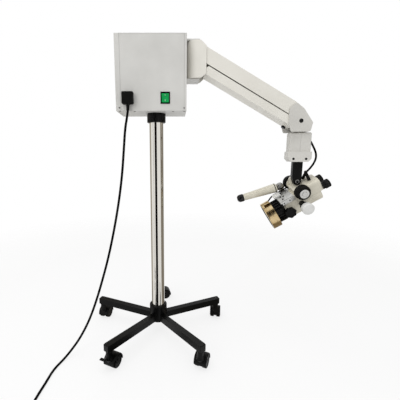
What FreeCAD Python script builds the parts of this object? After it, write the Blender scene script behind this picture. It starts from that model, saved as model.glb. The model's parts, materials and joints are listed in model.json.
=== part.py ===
import FreeCAD, Part
import math
import os
import Sketcher
from FreeCAD import Vector

# Millimetres. Origin on the floor under the middle of the whole object, +Z up, +X towards the arm,
# viewer on the -Y side. The pole axis stands left of and in front of the origin.
SIZES = {
    # Where the pole axis stands from the middle of the object
    "pole_left": 206.61,
    "pole_near": 34.55,
    # Running fits and sheet metal
    "bearing_fit": 0.05,
    "sheet_wall": 1.5,
    "panel_joint": 0.4,
    # Five-leg base
    "hub_radius": 38.5,
    "hub_low": 62,
    "hub_high": 134.6,
    "hub_chamfer": 3,
    "leg_yaw": 18,
    "leg_count": 5,
    "leg_wide": 25.4,
    "leg_tall": 28,
    "leg_root": 79,
    "leg_rise": 17,
    "leg_wall": 2,
    "leg_socket": 8,
    "leg_end": 299,
    "leg_cap": 6,
    "leg_cap_round": 2,
    "stem_spot": 289,
    "stem_radius": 5.5,
    "stem_top": 106,
    "stem_room": 0.5,
    "stem_boss_radius": 9,
    "stem_boss_low": 82,
    "stem_boss_high": 108,
    # Casters, with the way each one trails in the photographed pose
    "trail_yaw_1": 80,
    "trail_yaw_2": 12,
    "trail_yaw_3": 75,
    "trail_yaw_4": 66,
    "trail_yaw_5": 66,
    "wheel_radius": 25,
    "wheel_trail": 22,
    "wheel_inner": 6,
    "wheel_outer": 23.5,
    "wheel_chamfer": 2,
    "wheel_dish_radius": 17,
    "wheel_dish": 1.5,
    "axle_radius": 3,
    "hood_radius": 29.5,
    "hood_inner_radius": 26.5,
    "hood_half": 25,
    "hood_web_half": 5,
    "hood_low": 20,
    "neck_low": 40,
    "neck_radius": 13,
    "neck_high": 66,
    "swivel_radius": 12.5,
    "swivel_high": 79.8,
    "lever_pivot_out": 16,
    "lever_height": 50,
    "lever_lug": 3.5,
    "lever_reach": 9,
    "lever_side": 27,
    "lever_play": 0.4,
    "lever_pin_radius": 2,
    # Pole and collar
    "pole_radius": 28.65,
    "pole_wall": 3,
    "pole_low": 74,
    "box_low": 963,
    "collar_radius": 37.5,
    "collar_low": 927,
    "collar_round": 3,
    # Supply box
    "box_left": 147.4,
    "box_right": 118.6,
    "box_half_deep": 75,
    "box_high": 1234,
    "strip_left": 129,
    "strip_right": 110,
    "supply_left": 110,
    "supply_right": 60,
    "supply_front": 40,
    "supply_back": 70,
    "supply_high": 1050,
    "inlet_centre": 100.5,
    "inlet_rise": 43.5,
    "inlet_half_wide": 19.5,
    "inlet_half_tall": 20,
    "inlet_flange": 2,
    "inlet_body_half_wide": 15,
    "inlet_body_half_tall": 16,
    "inlet_deep": 30,
    "plug_half_wide": 21.5,
    "plug_half_tall": 22,
    "plug_deep": 24,
    "plug_round": 4,
    "relief_out": 12,
    "relief_long": 22,
    "relief_radius": 6.5,
    "cord_radius": 4.5,
    "switch_centre": 38.75,
    "switch_rise": 46.5,
    "bezel_half_wide": 17.75,
    "bezel_half_tall": 21.5,
    "bezel_frame": 3.5,
    "bezel_proud": 2,
    "bezel_lip": 2,
    "bezel_deep": 22,
    "bezel_floor": 2,
    "rocker_half_wide": 13.7,
    "rocker_half_tall": 15.5,
    "rocker_proud_high": 10,
    "rocker_proud_middle": 5.5,
    "rocker_proud_low": 6.5,
    "rocker_back": 5,
    "rocker_pivot_deep": 7,
    "rocker_thick": 5,
    "rocker_pin_radius": 1.5,
    "rocker_pin_out": 1,
    "rocker_pin_play": 0.4,
    # Fixed clevis and swing bracket
    "swing_axis": 160,
    "clevis_end": 170,
    "clevis_half": 30,
    "clevis_plate": 6,
    "clevis_tall": 148.5,
    "clevis_back": 4,
    "swing_pin_radius": 7,
    "swing_gap": 1,
    "bracket_radius": 40,
    "bracket_wall": 2.5,
    "bracket_nose": 195,
    "bracket_nose_low": 1107,
    "bracket_nose_high": 1206,
    "bracket_foot": 176,
    "bracket_brow": 173,
    "bracket_plate": 3,
    "bracket_plate_end": 170,
    # Parallelogram arm
    "shoulder_height": 1158,
    "link_drop": 25,
    "shoulder_spot": 170,
    "elbow_spot": 571.5,
    "elbow_height": 931.5,
    "shell_half": 35.5,
    "shell_wall": 2,
    "shell_tall": 52,
    "shell_clip": 12,
    "shell_ear": 12,
    "shell_end_back": 52,
    "shell_end_low": 30,
    "shell_end_rise": 6,
    "pivot_pin_radius": 5,
    "pivot_head_radius": 8,
    "pivot_head": 1.5,
    "lower_top": 17.8,
    "lower_bottom": 13.2,
    "lower_ear": 10,
    "lower_strap": 7,
    "lower_start": 30,
    "lower_stop": 28,
    "lower_ramp": 4,
    "lower_step": 6,
    "spring_height": 26,
    "spring_start": 60,
    "spring_body_end": 290,
    "spring_end": 380,
    "spring_radius": 9,
    "spring_rod_radius": 4,
    "spring_pin_radius": 4,
    "lock_spot": 412,
    "lock_block_half": 7,
    "lock_block": 4.8,
    "lock_stem_radius": 4,
    "lock_stem_in": 5,
    "lock_knob_radius": 8.5,
    "lock_knob_tall": 9,
    # Elbow cover
    "cover_half": 40,
    "cover_wall": 2.5,
    "cover_left": 48.9,
    "cover_eave": 6.7,
    "cover_shoulder": 46,
    "cover_peak_left": 21.1,
    "cover_peak": 69.1,
    "cover_roof_right": 9,
    "cover_right": 47.3,
    "cover_foot_right": 39,
    "cover_foot_left": 37.9,
    "cover_foot_gap": 3.5,
    "cover_floor_left": 14.5,
    "cover_floor": 3.2,
    "cover_slope_wall": 3.5,
    "cover_round": 7,
    # Drop column
    "drop_spot": 585,
    "drop_yaw": -9,
    "drop_cover_half_wide": 41.5,
    "drop_cover_half_deep": 28,
    "drop_cover_high": 888,
    "drop_cover_low": 812,
    "drop_cover_round": 6,
    "drop_cover_wall": 2.5,
    "drop_cover_seam": 0.5,
    "clamp_half_wide": 45.5,
    "clamp_half_deep": 35,
    "clamp_low": 771,
    "clamp_chamfer": 14,
    "clamp_flat_half": 33,
    "clamp_screw_offset": 24,
    "clamp_screw_height": 783,
    "clamp_screw_radius": 5,
    "clamp_screw_deep": 6,
    "shaft_radius": 8,
    "shaft_nut_radius": 11,
    "shaft_nut": 4,
    "shaft_nut_gap": 0.3,
    "post_half_wide": 19,
    "post_half_deep": 14,
    "post_taper_start": 20,
    "tongue_radius": 15,
    "tongue_fit": 0.5,
    "tongue_room": 1.5,
    "tongue_room_long": 70,
    "tilt_spot": 587,
    "tilt_height": 689.5,
    "tilt_pin_radius": 5,
    "tilt_pin_head_radius": 9,
    "tilt_pin_head": 2.5,
    "tilt_boss_radius": 24,
    "tilt_boss_long": 22,
    "tilt_pin_short": 3,
    # Optical head, in its own tilted frame
    "head_spot": 588,
    "head_height": 664.7,
    "head_pitch": -32,
    "head_roll": 15.5,
    "barrel_drop": 60,
    "barrel_radius": 39,
    "barrel_front": 100,
    "barrel_back": 71,
    "block_half": 43,
    "block_top": 6.5,
    "block_front": 21,
    "block_back": 15,
    "block_round": 5,
    "deck_front": 77,
    "deck_half": 40,
    "deck_top": 12.4,
    "foot_spot": 43,
    "foot_half": 13,
    "foot_side": 38,
    "foot_inner": 14,
    "foot_low": 94,
    "shaft_boss_radius": 22,
    "shaft_boss_end": 50,
    "grip_start": 52,
    "grip_step": 70,
    "grip_end": 82,
    "grip_radius": 30.5,
    "grip_end_radius": 25,
    "drum_shaft_radius": 4,
    "drum_cap_radius": 18.5,
    "drum_cap": 3,
    "drum_ring_radius": 11,
    "drum_ring_inner": 8,
    "drum_ring": 1,
    "prism_back": 84,
    "prism_low": 50,
    "prism_top": 4,
    "prism_half": 40,
    "prism_round": 11,
    "seam_height": 17,
    "seam_gap": 0.8,
    "eye_offset": 31,
    "eye_drop": 36,
    "eye_radius": 18,
    "eye_neck_radius": 15,
    "eye_neck": 10,
    "eye_long": 31,
    "eye_bore": 11,
    "eye_bore_deep": 6,
    "plate_front": 92,
    "plate_back": 31,
    "plate_half": 40,
    "plate_thick": 6,
    "plate_gap": 0.05,
    "rail_inner": 42.5,
    "rail_outer": 47,
    "rail_low": 24,
    "block_on_plate_front": 100,
    "block_on_plate_back": 68,
    "block_on_plate_inner": 4,
    "block_on_plate_outer": 36,
    "block_on_plate_top": 2,
    "flange_back": 86,
    "flange_thick": 6,
    "flange_half": 46,
    "flange_gap": 0.4,
    "sink_bore": 40,
    "sink_core": 43,
    "sink_fin_radius": 49,
    "sink_fin_count": 24,
    "sink_fin_thick": 2.6,
    "sink_front": 125,
    "sink_floor": 113,
    "ring_radius": 61,
    "ring_wall": 3,
    "ring_front": 163,
    "ring_back_plate": 3,
    "ring_bore": 21,
    "led_front": 160,
    "led_thick": 4,
    "led_radius": 2.5,
    "led_deep": 1.5,
    "led_circle": 42,
    "led_count": 24,
    "lens_thick": 6,
    "lens_bulge": 2,
    "lock_knob_spot": 76,
    "lock_knob_drop": 58,
    "lock_knob_near": 70,
    "lock_knob_far": 56,
    "lock_knob_lobe": 24,
    "lock_knob_lobes": 7,
    "lock_knob_scallop": 7,
    "lock_knob_bite": 2.5,
    "lock_knob_stem": 4,
    "focus_spot": 17,
    "focus_drop": 55,
    "focus_radius": 23.5,
    "focus_chamfer": 1.5,
    "focus_near": 110,
    "focus_far": 87,
    "focus_neck_radius": 12,
    "focus_neck_far": 43.05,
    "focus_disc_radius": 17,
    "focus_disc_near": 72,
    "focus_disc_far": 66,
    "joint_spot": 47,
    "joint_side": 60,
    "joint_height": 8,
    "joint_radius": 16.7,
    "joint_half": 8,
    "joint_chamfer": 4,
    "joint_play": 0.4,
    "joint_neck_radius": 8,
    "joint_foot_half": 8,
    "joint_foot_low": -38,
    "joint_foot": 12,
    "handle_pitch": 14.4,
    "handle_yaw": 180,
    "cup_radius": 20.5,
    "cup_end": 26,
    "grip_long": 166,
    "grip_tip_radius": 13,
    "ball_radius": 14.5,
    "ball_neck_radius": 12.3,
    "ball_start": 5.8,
    "ball_stop": 17.4,
    "ball_round": 23.2,
    "ball_round_radius": 10.2,
    "ball_long": 24.7,
    "port_left_spot": 46,
    "port_left_side": 30,
    "port_right_spot": 56,
    "port_right_side": -12,
    "port_radius": 6,
    "cable_radius": 4,
    "wire_radius": 3,
    "splitter_spot": 61,
    "splitter_side": 5,
    "splitter_height": 35,
    "splitter_radius": 7,
    # Put-away mains cord
    "coil_left": 430,
    "coil_near": 448,
    "coil_radius": 48,
    "coil_half_turns": 3,
    "coil_layers": 4,
    "coil_chamfer": 2,
    "wall_plug_yaw": 140,
    "wall_plug_half": 17,
    "wall_plug_high": 24,
    "wall_plug_long": 40,
    "pin_offset": 9.5,
    "pin_radius": 2.4,
    "pin_long": 19,
}
COORD_SHEET = "Sizes"
BRAKED = 4
# Reach of a cutting outline past the face it opens, and of a block into the one it joins
PAST = 1

# Routes of the cords, chosen by hand: the mains cord from the pole axis, the others in the head's frame
MAINS_ROUTE = [
    (-103.5, -90, 940), (-111.5, -95, 897), (-117.5, -101, 820), (-125, -108, 728),
    (-138.5, -117, 627), (-158, -125.5, 520), (-182, -133, 412), (-209, -140, 315), (-238, -146.5, 222),
    (-268, -152, 144), (-300, -157, 83), (-326, -162, 44), (-360, -182, 4.5), (-380, -240, 4.5),
    (-381, -298, 4.5), (-384, -342, 4.5), (-384.5, -388, 4.5), (-389, -434, 4.5),
]
PLUG_ROUTE = [(-430, -500, 13), (-457, -501, 12.5), (-482, -495, 12), (-503, -482, 12)]
HEAD_ROUTE = [(40, 8, 868), (66, 5, 826), (76, 2, 788), (58, -2, 750), (41.1, -3.7, 732.1)]
RING_ROUTE = [
    (-21, 38.5, -1.5), (-45, 40.1, -2.5), (-75, 40.5, -2.5), (-102, 39.6, -3.5), (-122.8, 31.6, -12.6),
]

doc = FreeCAD.newDocument("Colposcope")
sheet = doc.addObject("Spreadsheet::Sheet", COORD_SHEET)
for row, (alias, number) in enumerate(SIZES.items(), 1):
    sheet.set(f"A{row}", alias)
    sheet.set(f"B{row}", str(number))
    sheet.setAlias(f"B{row}", alias)
doc.recompute()


class Size:
    """A length that carries both its number and the sheet expression it comes from."""

    def __init__(self, value, text):
        self.value = value
        self.text = text

    def __add__(self, other):
        other = as_size(other)
        return Size(self.value + other.value, f"({self.text} + {other.text})")

    def __sub__(self, other):
        other = as_size(other)
        return Size(self.value - other.value, f"({self.text} - {other.text})")

    def __mul__(self, other):
        other = as_size(other)
        return Size(self.value * other.value, f"({self.text} * {other.text})")

    def __truediv__(self, other):
        other = as_size(other)
        return Size(self.value / other.value, f"({self.text} / {other.text})")

    def __rsub__(self, other):
        return as_size(other) - self

    def __neg__(self):
        return Size(-self.value, f"(-{self.text})")

    __radd__ = __add__
    __rmul__ = __mul__


def as_size(number):
    """Give a plain number the same form as a named size."""
    if isinstance(number, Size):
        return number
    return Size(float(number), f"({float(number)!r})")


class Names:
    """Every sheet alias as an attribute."""

    def __getattr__(self, name):
        return Size(float(SIZES[name]), f"{COORD_SHEET}.{name}")


z = Names()


def arc_tangent(rise, run):
    """Angle in degrees whose tangent is rise over run."""
    angle = math.degrees(math.atan2(rise.value, run.value))
    return Size(angle, f"(atan({rise.text} / {run.text}) / 1 deg)")


def root_of_squares(one, two):
    """Length of the hypotenuse."""
    return Size(math.hypot(one.value, two.value), f"sqrt({one.text} ^ 2 + {two.text} ^ 2)")


class Frame:
    """Where a group of pieces stands: a placement now and the expression that drives it."""

    ground = None

    def __init__(self, spot=(0, 0, 0), yaw=0, pitch=0, roll=0, parent=None):
        spot = [as_size(number) for number in spot]
        turn = [as_size(number) for number in (yaw, pitch, roll)]
        base = Vector(*[size.value for size in spot])
        own = FreeCAD.Placement(base, FreeCAD.Rotation(*[size.value for size in turn]))
        texts = [size.text for size in spot + turn]
        own_text = "placement(vector({}; {}; {}); rotation({}; {}; {}))".format(*texts)
        parent = parent or Frame.ground
        self.placement = parent.placement * own if parent else own
        self.text = f"{parent.text} * {own_text}" if parent else own_text

    def apply(self, item):
        item.Placement = self.placement
        item.setExpression("Placement", self.text)


WORLD = Frame(spot=(-z.pole_left, -z.pole_near, 0))
Frame.ground = WORLD


class Round:
    """A circle in a sketch."""

    def __init__(self, across, along, radius):
        self.across = as_size(across)
        self.along = as_size(along)
        self.radius = as_size(radius)


class Solid:
    """One body made of sketched features whose sizes come from the sheet."""

    def __init__(self, label, frame=WORLD, many=False):
        self.body = doc.addObject("PartDesign::Body", label)
        self.body.Label = label
        self.body.AllowCompound = many
        frame.apply(self.body)
        self.planes = {item.Role: item for item in self.body.Origin.OriginFeatures}

    def sketch(self, plane, outlines, offset):
        sketch = self.body.newObject("Sketcher::SketchObject", "outline")
        sketch.AttachmentSupport = (self.planes[plane + "_Plane"], [""])
        sketch.MapMode = "FlatFace"
        offset = as_size(offset)
        sketch.AttachmentOffset = FreeCAD.Placement(Vector(0, 0, offset.value), FreeCAD.Rotation())
        sketch.setExpression("AttachmentOffset.Base.z", offset.text)
        for outline in outlines:
            if isinstance(outline, Round):
                add_circle(sketch, outline)
            else:
                add_polygon(sketch, outline)
        return sketch

    def feature(self, kind, sketch, length):
        feature = self.body.newObject(kind, kind.split("::")[1].lower())
        feature.Profile = sketch
        feature.Length = length.value
        feature.setExpression("Length", length.text)
        return feature

    def pad(self, plane, outlines, low, high):
        low, high = as_size(low), as_size(high)
        start = -high if plane == "XZ" else low
        return self.feature("PartDesign::Pad", self.sketch(plane, outlines, start), high - low)

    def pocket(self, plane, outlines, low, high):
        low, high = as_size(low), as_size(high)
        start = -low if plane == "XZ" else high
        return self.feature("PartDesign::Pocket", self.sketch(plane, outlines, start), high - low)

    def turned(self, kind, plane, axis, outline):
        sketch = self.sketch(plane, [outline], 0)
        feature = self.body.newObject("PartDesign::" + kind, kind.lower())
        feature.Profile = sketch
        feature.ReferenceAxis = (sketch, [axis])
        feature.Angle = 360
        return feature

    def revolve_z(self, outline):
        return self.turned("Revolution", "XZ", "V_Axis", outline)

    def revolve_x(self, outline):
        return self.turned("Revolution", "XZ", "H_Axis", outline)

    def revolve_y(self, outline):
        return self.turned("Revolution", "YZ", "H_Axis", outline)

    def repeat(self, features, axis, count):
        doc.recompute()
        pattern = self.body.newObject("PartDesign::PolarPattern", "repeat")
        pattern.Originals = features
        pattern.Axis = (self.planes[axis + "_Axis"], [""])
        pattern.Angle = 360
        pattern.Occurrences = int(count.value)
        pattern.setExpression("Occurrences", count.text)
        self.body.Tip = pattern
        return pattern

    def edges(self, kind, size, pick):
        doc.recompute()
        base = self.body.Tip
        names = [f"Edge{index}" for index, edge in enumerate(base.Shape.Edges, 1) if pick(edge)]
        feature = self.body.newObject("PartDesign::" + kind, kind.lower())
        feature.Base = (base, names)
        field = "Radius" if kind == "Fillet" else "Size"
        setattr(feature, field, size.value)
        feature.setExpression(field, size.text)
        return feature


def add_polygon(sketch, points):
    """Closed outline, every corner dimensioned from the sketch origin."""
    points = [(as_size(across), as_size(along)) for across, along in points]
    first = sketch.GeometryCount
    count = len(points)
    corners = [Vector(across.value, along.value, 0) for across, along in points]
    lines = [Part.LineSegment(corners[i], corners[(i + 1) % count]) for i in range(count)]
    sketch.addGeometry(lines, False)
    rules = []
    for i in range(count):
        rules.append(Sketcher.Constraint("Coincident", first + i, 2, first + (i + 1) % count, 1))
    for i in range(count):
        rules.append(Sketcher.Constraint("DistanceX", -1, 1, first + i, 1, points[i][0].value))
        rules.append(Sketcher.Constraint("DistanceY", -1, 1, first + i, 1, points[i][1].value))
    at = sketch.ConstraintCount
    sketch.addConstraint(rules)
    for i in range(count):
        sketch.setExpression(f"Constraints[{at + count + 2 * i}]", points[i][0].text)
        sketch.setExpression(f"Constraints[{at + count + 2 * i + 1}]", points[i][1].text)


def add_circle(sketch, circle):
    """Circle with its centre and radius dimensioned."""
    centre = Vector(circle.across.value, circle.along.value, 0)
    index = sketch.addGeometry(Part.Circle(centre, Vector(0, 0, 1), circle.radius.value), False)
    at = sketch.ConstraintCount
    sketch.addConstraint([
        Sketcher.Constraint("DistanceX", -1, 1, index, 3, circle.across.value),
        Sketcher.Constraint("DistanceY", -1, 1, index, 3, circle.along.value),
        Sketcher.Constraint("Radius", index, circle.radius.value),
    ])
    for step, size in enumerate((circle.across, circle.along, circle.radius)):
        sketch.setExpression(f"Constraints[{at + step}]", size.text)


def block(left, right, low, high):
    """Four corners of a rectangle."""
    return [(left, low), (right, low), (right, high), (left, high)]


def mirrored(half, low, high):
    """Rectangle that is symmetrical across the first axis."""
    return block(-half, half, low, high)


def along(edge, axis):
    """True for a straight edge parallel to the axis given."""
    if not isinstance(edge.Curve, Part.Line):
        return False
    return abs(abs(edge.Curve.Direction.dot(axis)) - 1) < 1e-6


X_AXIS = Vector(1, 0, 0)
Y_AXIS = Vector(0, 1, 0)
Z_AXIS = Vector(0, 0, 1)


def middle(edge):
    return edge.BoundBox.Center


def fused(label, items):
    """One named solid from several bodies that share faces or volume."""
    whole = doc.addObject("Part::MultiFuse", label)
    whole.Label = label
    whole.Shapes = [item.body for item in items]
    whole.Refine = True
    return whole


def carved(label, base, tool):
    """One named solid with another one's shape taken out of it."""
    cut = doc.addObject("Part::Cut", label)
    cut.Label = label
    cut.Base = base
    cut.Tool = tool
    return cut


def lifted(label, items):
    """Several separate solids under one name."""
    group = doc.addObject("Part::Compound", label)
    group.Label = label
    group.Links = [item.body if isinstance(item, Solid) else item for item in items]
    return group


def shaped(label, shape, frame=WORLD):
    """A node whose form Part's functions make."""
    item = doc.addObject("Part::Feature", label)
    item.Label = label
    item.Shape = shape
    frame.apply(item)
    return item


def rod(start, end, radius, end_radius=None):
    """Round bar or cone between two points."""
    start, end = Vector(*start), Vector(*end)
    reach = end - start
    if end_radius is None:
        return Part.makeCylinder(radius, reach.Length, start, reach)
    return Part.makeCone(radius, end_radius, reach.Length, start, reach)


def tube(label, points, radius, frame=WORLD):
    """Round cord through the points given: straight runs joined by tangent arcs."""
    points = [Vector(*point) for point in points]
    edges = []
    radii = []
    start = points[0]
    for before, corner, after in zip(points, points[1:], points[2:]):
        run_in = (before - corner)
        run_out = (after - corner)
        turn = math.pi - run_in.getAngle(run_out)
        shorter = min(run_in.Length, run_out.Length)
        bend = 0.45 * shorter / math.tan(turn / 2)
        reach = 0.45 * shorter
        one = corner + run_in.normalize() * reach
        two = corner + run_out.normalize() * reach
        toward = (run_in + run_out).normalize()
        centre = corner + toward * math.hypot(bend, reach)
        mid = centre - toward * bend
        edges.append(Part.LineSegment(start, one).toShape())
        edges.append(Part.Arc(one, mid, two).toShape())
        radii.append(round(bend, 1))
        start = two
    edges.append(Part.LineSegment(start, points[-1]).toShape())
    path = Part.Wire(edges)
    ring = Part.Wire([Part.makeCircle(radius, points[0], points[1] - points[0])])
    shape = path.makePipeShell([ring], True, False)
    print(label, "radii", radii, "volume share",
          round(shape.Volume / (math.pi * radius ** 2 * path.Length), 4))
    return shaped(label, shape, frame)


pieces = []

# Hub of the five-leg base
hub = Solid("hub")
hub.revolve_z([
    (0, z.hub_low), (z.hub_radius, z.hub_low), (z.hub_radius, z.hub_high - z.hub_chamfer),
    (z.hub_radius - z.hub_chamfer, z.hub_high), (z.pole_radius, z.hub_high), (z.pole_radius, z.pole_low),
    (0, z.pole_low),
])
pieces.append(hub.body)

# Legs, hollow square tube that rises outwards, with a boss for the caster stem
base_frame = Frame(yaw=z.leg_yaw)
half_leg = z.leg_wide / 2
half_tall = z.leg_tall / 2
leg_start = z.hub_radius - z.leg_socket
leg_slope = z.leg_rise / (z.leg_end + z.leg_cap - z.hub_radius)


def leg_side(start, stop, half):
    """Side outline of a stretch of the rising leg, with upright ends."""
    first = z.leg_root + (start - z.hub_radius) * leg_slope
    last = z.leg_root + (stop - z.hub_radius) * leg_slope
    return [(start, first - half), (stop, last - half), (stop, last + half), (start, first + half)]


legs = Solid("base_legs", base_frame, many=True)
leg_parts = [
    legs.pad("XZ", [leg_side(leg_start, z.leg_end, half_tall)], -half_leg, half_leg),
    legs.pocket("XZ", [leg_side(leg_start - PAST, z.leg_end + PAST, half_tall - z.leg_wall)],
                z.leg_wall - half_leg, half_leg - z.leg_wall),
    legs.pad("XY", [Round(z.stem_spot, 0, z.stem_boss_radius)], z.stem_boss_low, z.stem_boss_high),
    legs.pocket("XY", [Round(z.stem_spot, 0, z.stem_radius + z.bearing_fit)], z.swivel_high,
                z.stem_top + z.stem_room),
    legs.pocket("XY", [Round(0, 0, z.hub_radius)], z.hub_low, z.hub_high),
]
legs.repeat(leg_parts, "Z", z.leg_count)
pieces.append(legs.body)

caps = Solid("leg_end_caps", base_frame, many=True)
cap = caps.pad("XZ", [leg_side(z.leg_end, z.leg_end + z.leg_cap, half_tall)], -half_leg, half_leg)
caps.repeat([cap], "Z", z.leg_count)
caps.edges("Fillet", z.leg_cap_round, lambda edge: math.hypot(middle(edge).x, middle(edge).y)
           > (z.leg_end + z.leg_cap).value - 0.5)
pieces.append(caps.body)

# Casters
axle_height = z.wheel_radius
for number in range(5):
    leg_turn = z.leg_yaw + 72 * number
    trail_turn = getattr(z, f"trail_yaw_{number + 1}") - leg_turn
    corner = Frame(spot=(z.stem_spot, 0, 0), yaw=trail_turn, parent=Frame(yaw=leg_turn))
    hood = Solid(f"caster_hood_{number + 1}", corner)
    hood.pad("XZ", [Round(z.wheel_trail, axle_height, z.hood_radius)], -z.hood_half, z.hood_half)
    hood.pad("XY", [Round(0, 0, z.neck_radius)], z.neck_low, z.neck_high)
    for side in (-1, 1):
        near = z.hood_web_half if side > 0 else -z.hood_half - 1
        far = z.hood_half + 1 if side > 0 else -z.hood_web_half
        hood.pocket("XZ", [Round(z.wheel_trail, axle_height, z.hood_inner_radius)], near, far)
    hood.pocket("XZ", [block(-z.hood_radius, z.wheel_trail + z.hood_radius + PAST,
                              axle_height - z.hood_radius - PAST, z.hood_low)],
                -z.hood_half - PAST, z.hood_half + PAST)
    hood.pocket("XZ", [Round(z.wheel_trail, axle_height, z.axle_radius + z.bearing_fit)],
                -z.hood_half - PAST, z.hood_half + PAST)
    hood.pad("XY", [Round(0, 0, z.swivel_radius)], z.neck_high, z.swivel_high)
    hood.pad("XY", [Round(0, 0, z.stem_radius)], z.swivel_high, z.stem_top)
    if number + 1 == BRAKED:
        lug_at = -z.lever_pivot_out
        hood.pad("XZ", [block(lug_at - z.lever_lug, z.lever_lug - z.neck_radius,
                              z.lever_height - z.lever_lug, z.lever_height + z.lever_lug)],
                 -z.lever_lug, z.lever_lug)
        hood.pocket("XZ", [Round(lug_at, z.lever_height, z.lever_pin_radius + z.bearing_fit)],
                    -z.lever_lug - PAST, z.lever_lug + PAST)
        lever = Solid("brake_lever", corner)
        blade = z.lever_lug + z.lever_play
        lever.pad("XZ", [block(lug_at - z.lever_reach, lug_at + z.lever_pin_radius,
                               z.lever_height - z.lever_pin_radius, z.lever_height + z.lever_pin_radius)],
                  blade, z.lever_side)
        lever.pad("XZ", [Round(lug_at, z.lever_height, z.lever_pin_radius)], -z.lever_lug, blade)
        pieces.append(lever.body)
    pieces.append(hood.body)
    axle = Frame(spot=(z.wheel_trail, 0, axle_height), parent=corner)
    wheels = Solid(f"caster_wheels_{number + 1}", axle)
    rim = z.wheel_radius - z.wheel_chamfer
    profile = [(-z.wheel_outer + z.wheel_dish, 0), (-z.wheel_outer + z.wheel_dish, z.wheel_dish_radius),
               (-z.wheel_outer, z.wheel_dish_radius), (-z.wheel_outer, rim),
               (-z.wheel_outer + z.wheel_chamfer, z.wheel_radius), (-z.wheel_inner, z.wheel_radius),
               (-z.wheel_inner, z.axle_radius), (z.wheel_inner, z.axle_radius),
               (z.wheel_inner, z.wheel_radius), (z.wheel_outer - z.wheel_chamfer, z.wheel_radius),
               (z.wheel_outer, rim), (z.wheel_outer, z.wheel_dish_radius),
               (z.wheel_outer - z.wheel_dish, z.wheel_dish_radius), (z.wheel_outer - z.wheel_dish, 0)]
    wheels.revolve_y(profile)
    pieces.append(wheels.body)

# Pole and its collar
pole = Solid("pole")
pole.pad("XY", [Round(0, 0, z.pole_radius), Round(0, 0, z.pole_radius - z.pole_wall)], z.pole_low,
         z.box_low)
pieces.append(pole.body)
collar = Solid("pole_collar")
collar.revolve_z([
    (z.pole_radius, z.collar_low), (z.collar_radius - z.collar_round, z.collar_low),
    (z.collar_radius, z.collar_low + z.collar_round), (z.collar_radius, z.box_low),
    (z.pole_radius, z.box_low),
])
pieces.append(collar.body)

# Supply box: front-and-bottom tray, then the wrap-round cover
wall = z.sheet_wall
front = -z.box_half_deep
inlet_height = z.box_low + z.inlet_rise
switch_height = z.box_low + z.switch_rise
clevis_top = z.box_high - wall
clevis_bottom = clevis_top - z.clevis_tall
clevis_start = z.box_right - wall - z.clevis_back
clevis_plates = (clevis_bottom, clevis_top - z.clevis_plate)


def centred(centre, half_wide, height, half_tall):
    """Rectangle about a centre."""
    return block(centre - half_wide, centre + half_wide, height - half_tall, height + half_tall)


tray = Solid("box_chassis")
tray.pad("XY", [block(-z.box_left + wall, z.box_right - wall, front, z.box_half_deep - wall)],
         z.box_low, z.box_low + wall)
panel_left = -z.strip_left + z.panel_joint
panel_right = z.strip_right - z.panel_joint
tray.pad("XZ", [block(panel_left, panel_right, z.box_low, z.box_high - wall)], front, front + wall)
tray.pocket("XZ", [
    centred(-z.inlet_centre, z.inlet_body_half_wide, inlet_height, z.inlet_body_half_tall),
    centred(z.switch_centre, z.bezel_half_wide - z.bezel_lip, switch_height, z.bezel_half_tall - z.bezel_lip),
], front - PAST, front + wall + PAST)
pieces.append(tray.body)

shell = Solid("box_cover")
shell.pad("XZ", [block(-z.box_left, z.box_right, z.box_low, z.box_high)], front, z.box_half_deep)
shell.pocket("XZ", [block(-z.box_left + wall, z.box_right - wall, z.box_low - PAST, z.box_high - wall)],
             front + wall, z.box_half_deep - wall)
shell.pocket("XZ", [block(-z.strip_left, z.strip_right, z.box_low - PAST, z.box_high - wall + z.panel_joint)],
             front - PAST, front + wall + PAST)
shell.pocket("XY", [block(-z.box_left + wall, z.box_right - wall, front - PAST, z.box_half_deep - wall)],
             z.box_low - PAST, z.box_low + wall)
for low in clevis_plates:
    shell.pocket("YZ", [mirrored(z.clevis_half, low, low + z.clevis_plate)], clevis_start, z.box_right + PAST)
pieces.append(shell.body)

supply = Solid("power_supply")
supply.pad("XY", [block(-z.supply_left, z.supply_right, -z.supply_front, z.supply_back)],
           z.box_low + wall, z.supply_high)
pieces.append(supply.body)

inlet = Solid("power_inlet")
inlet.pad("XZ", [centred(-z.inlet_centre, z.inlet_half_wide, inlet_height, z.inlet_half_tall)],
          front - z.inlet_flange, front)
inlet.pad("XZ", [centred(-z.inlet_centre, z.inlet_body_half_wide, inlet_height, z.inlet_body_half_tall)],
          front, front + z.inlet_deep)
pieces.append(inlet.body)

plug_front = front - z.inlet_flange - z.plug_deep
plug = Solid("cord_plug")
plug.pad("XZ", [centred(-z.inlet_centre, z.plug_half_wide, inlet_height, z.plug_half_tall)],
         plug_front, front - z.inlet_flange)
plug.edges("Fillet", z.plug_round, lambda edge: along(edge, Y_AXIS)
           or middle(edge).y < plug_front.value + 0.1)
relief_bottom = inlet_height - z.plug_half_tall
plug.pad("XY", [Round(-z.inlet_centre, plug_front + z.relief_out, z.relief_radius)],
         relief_bottom - z.relief_long, relief_bottom + PAST)
pieces.append(plug.body)

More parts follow.
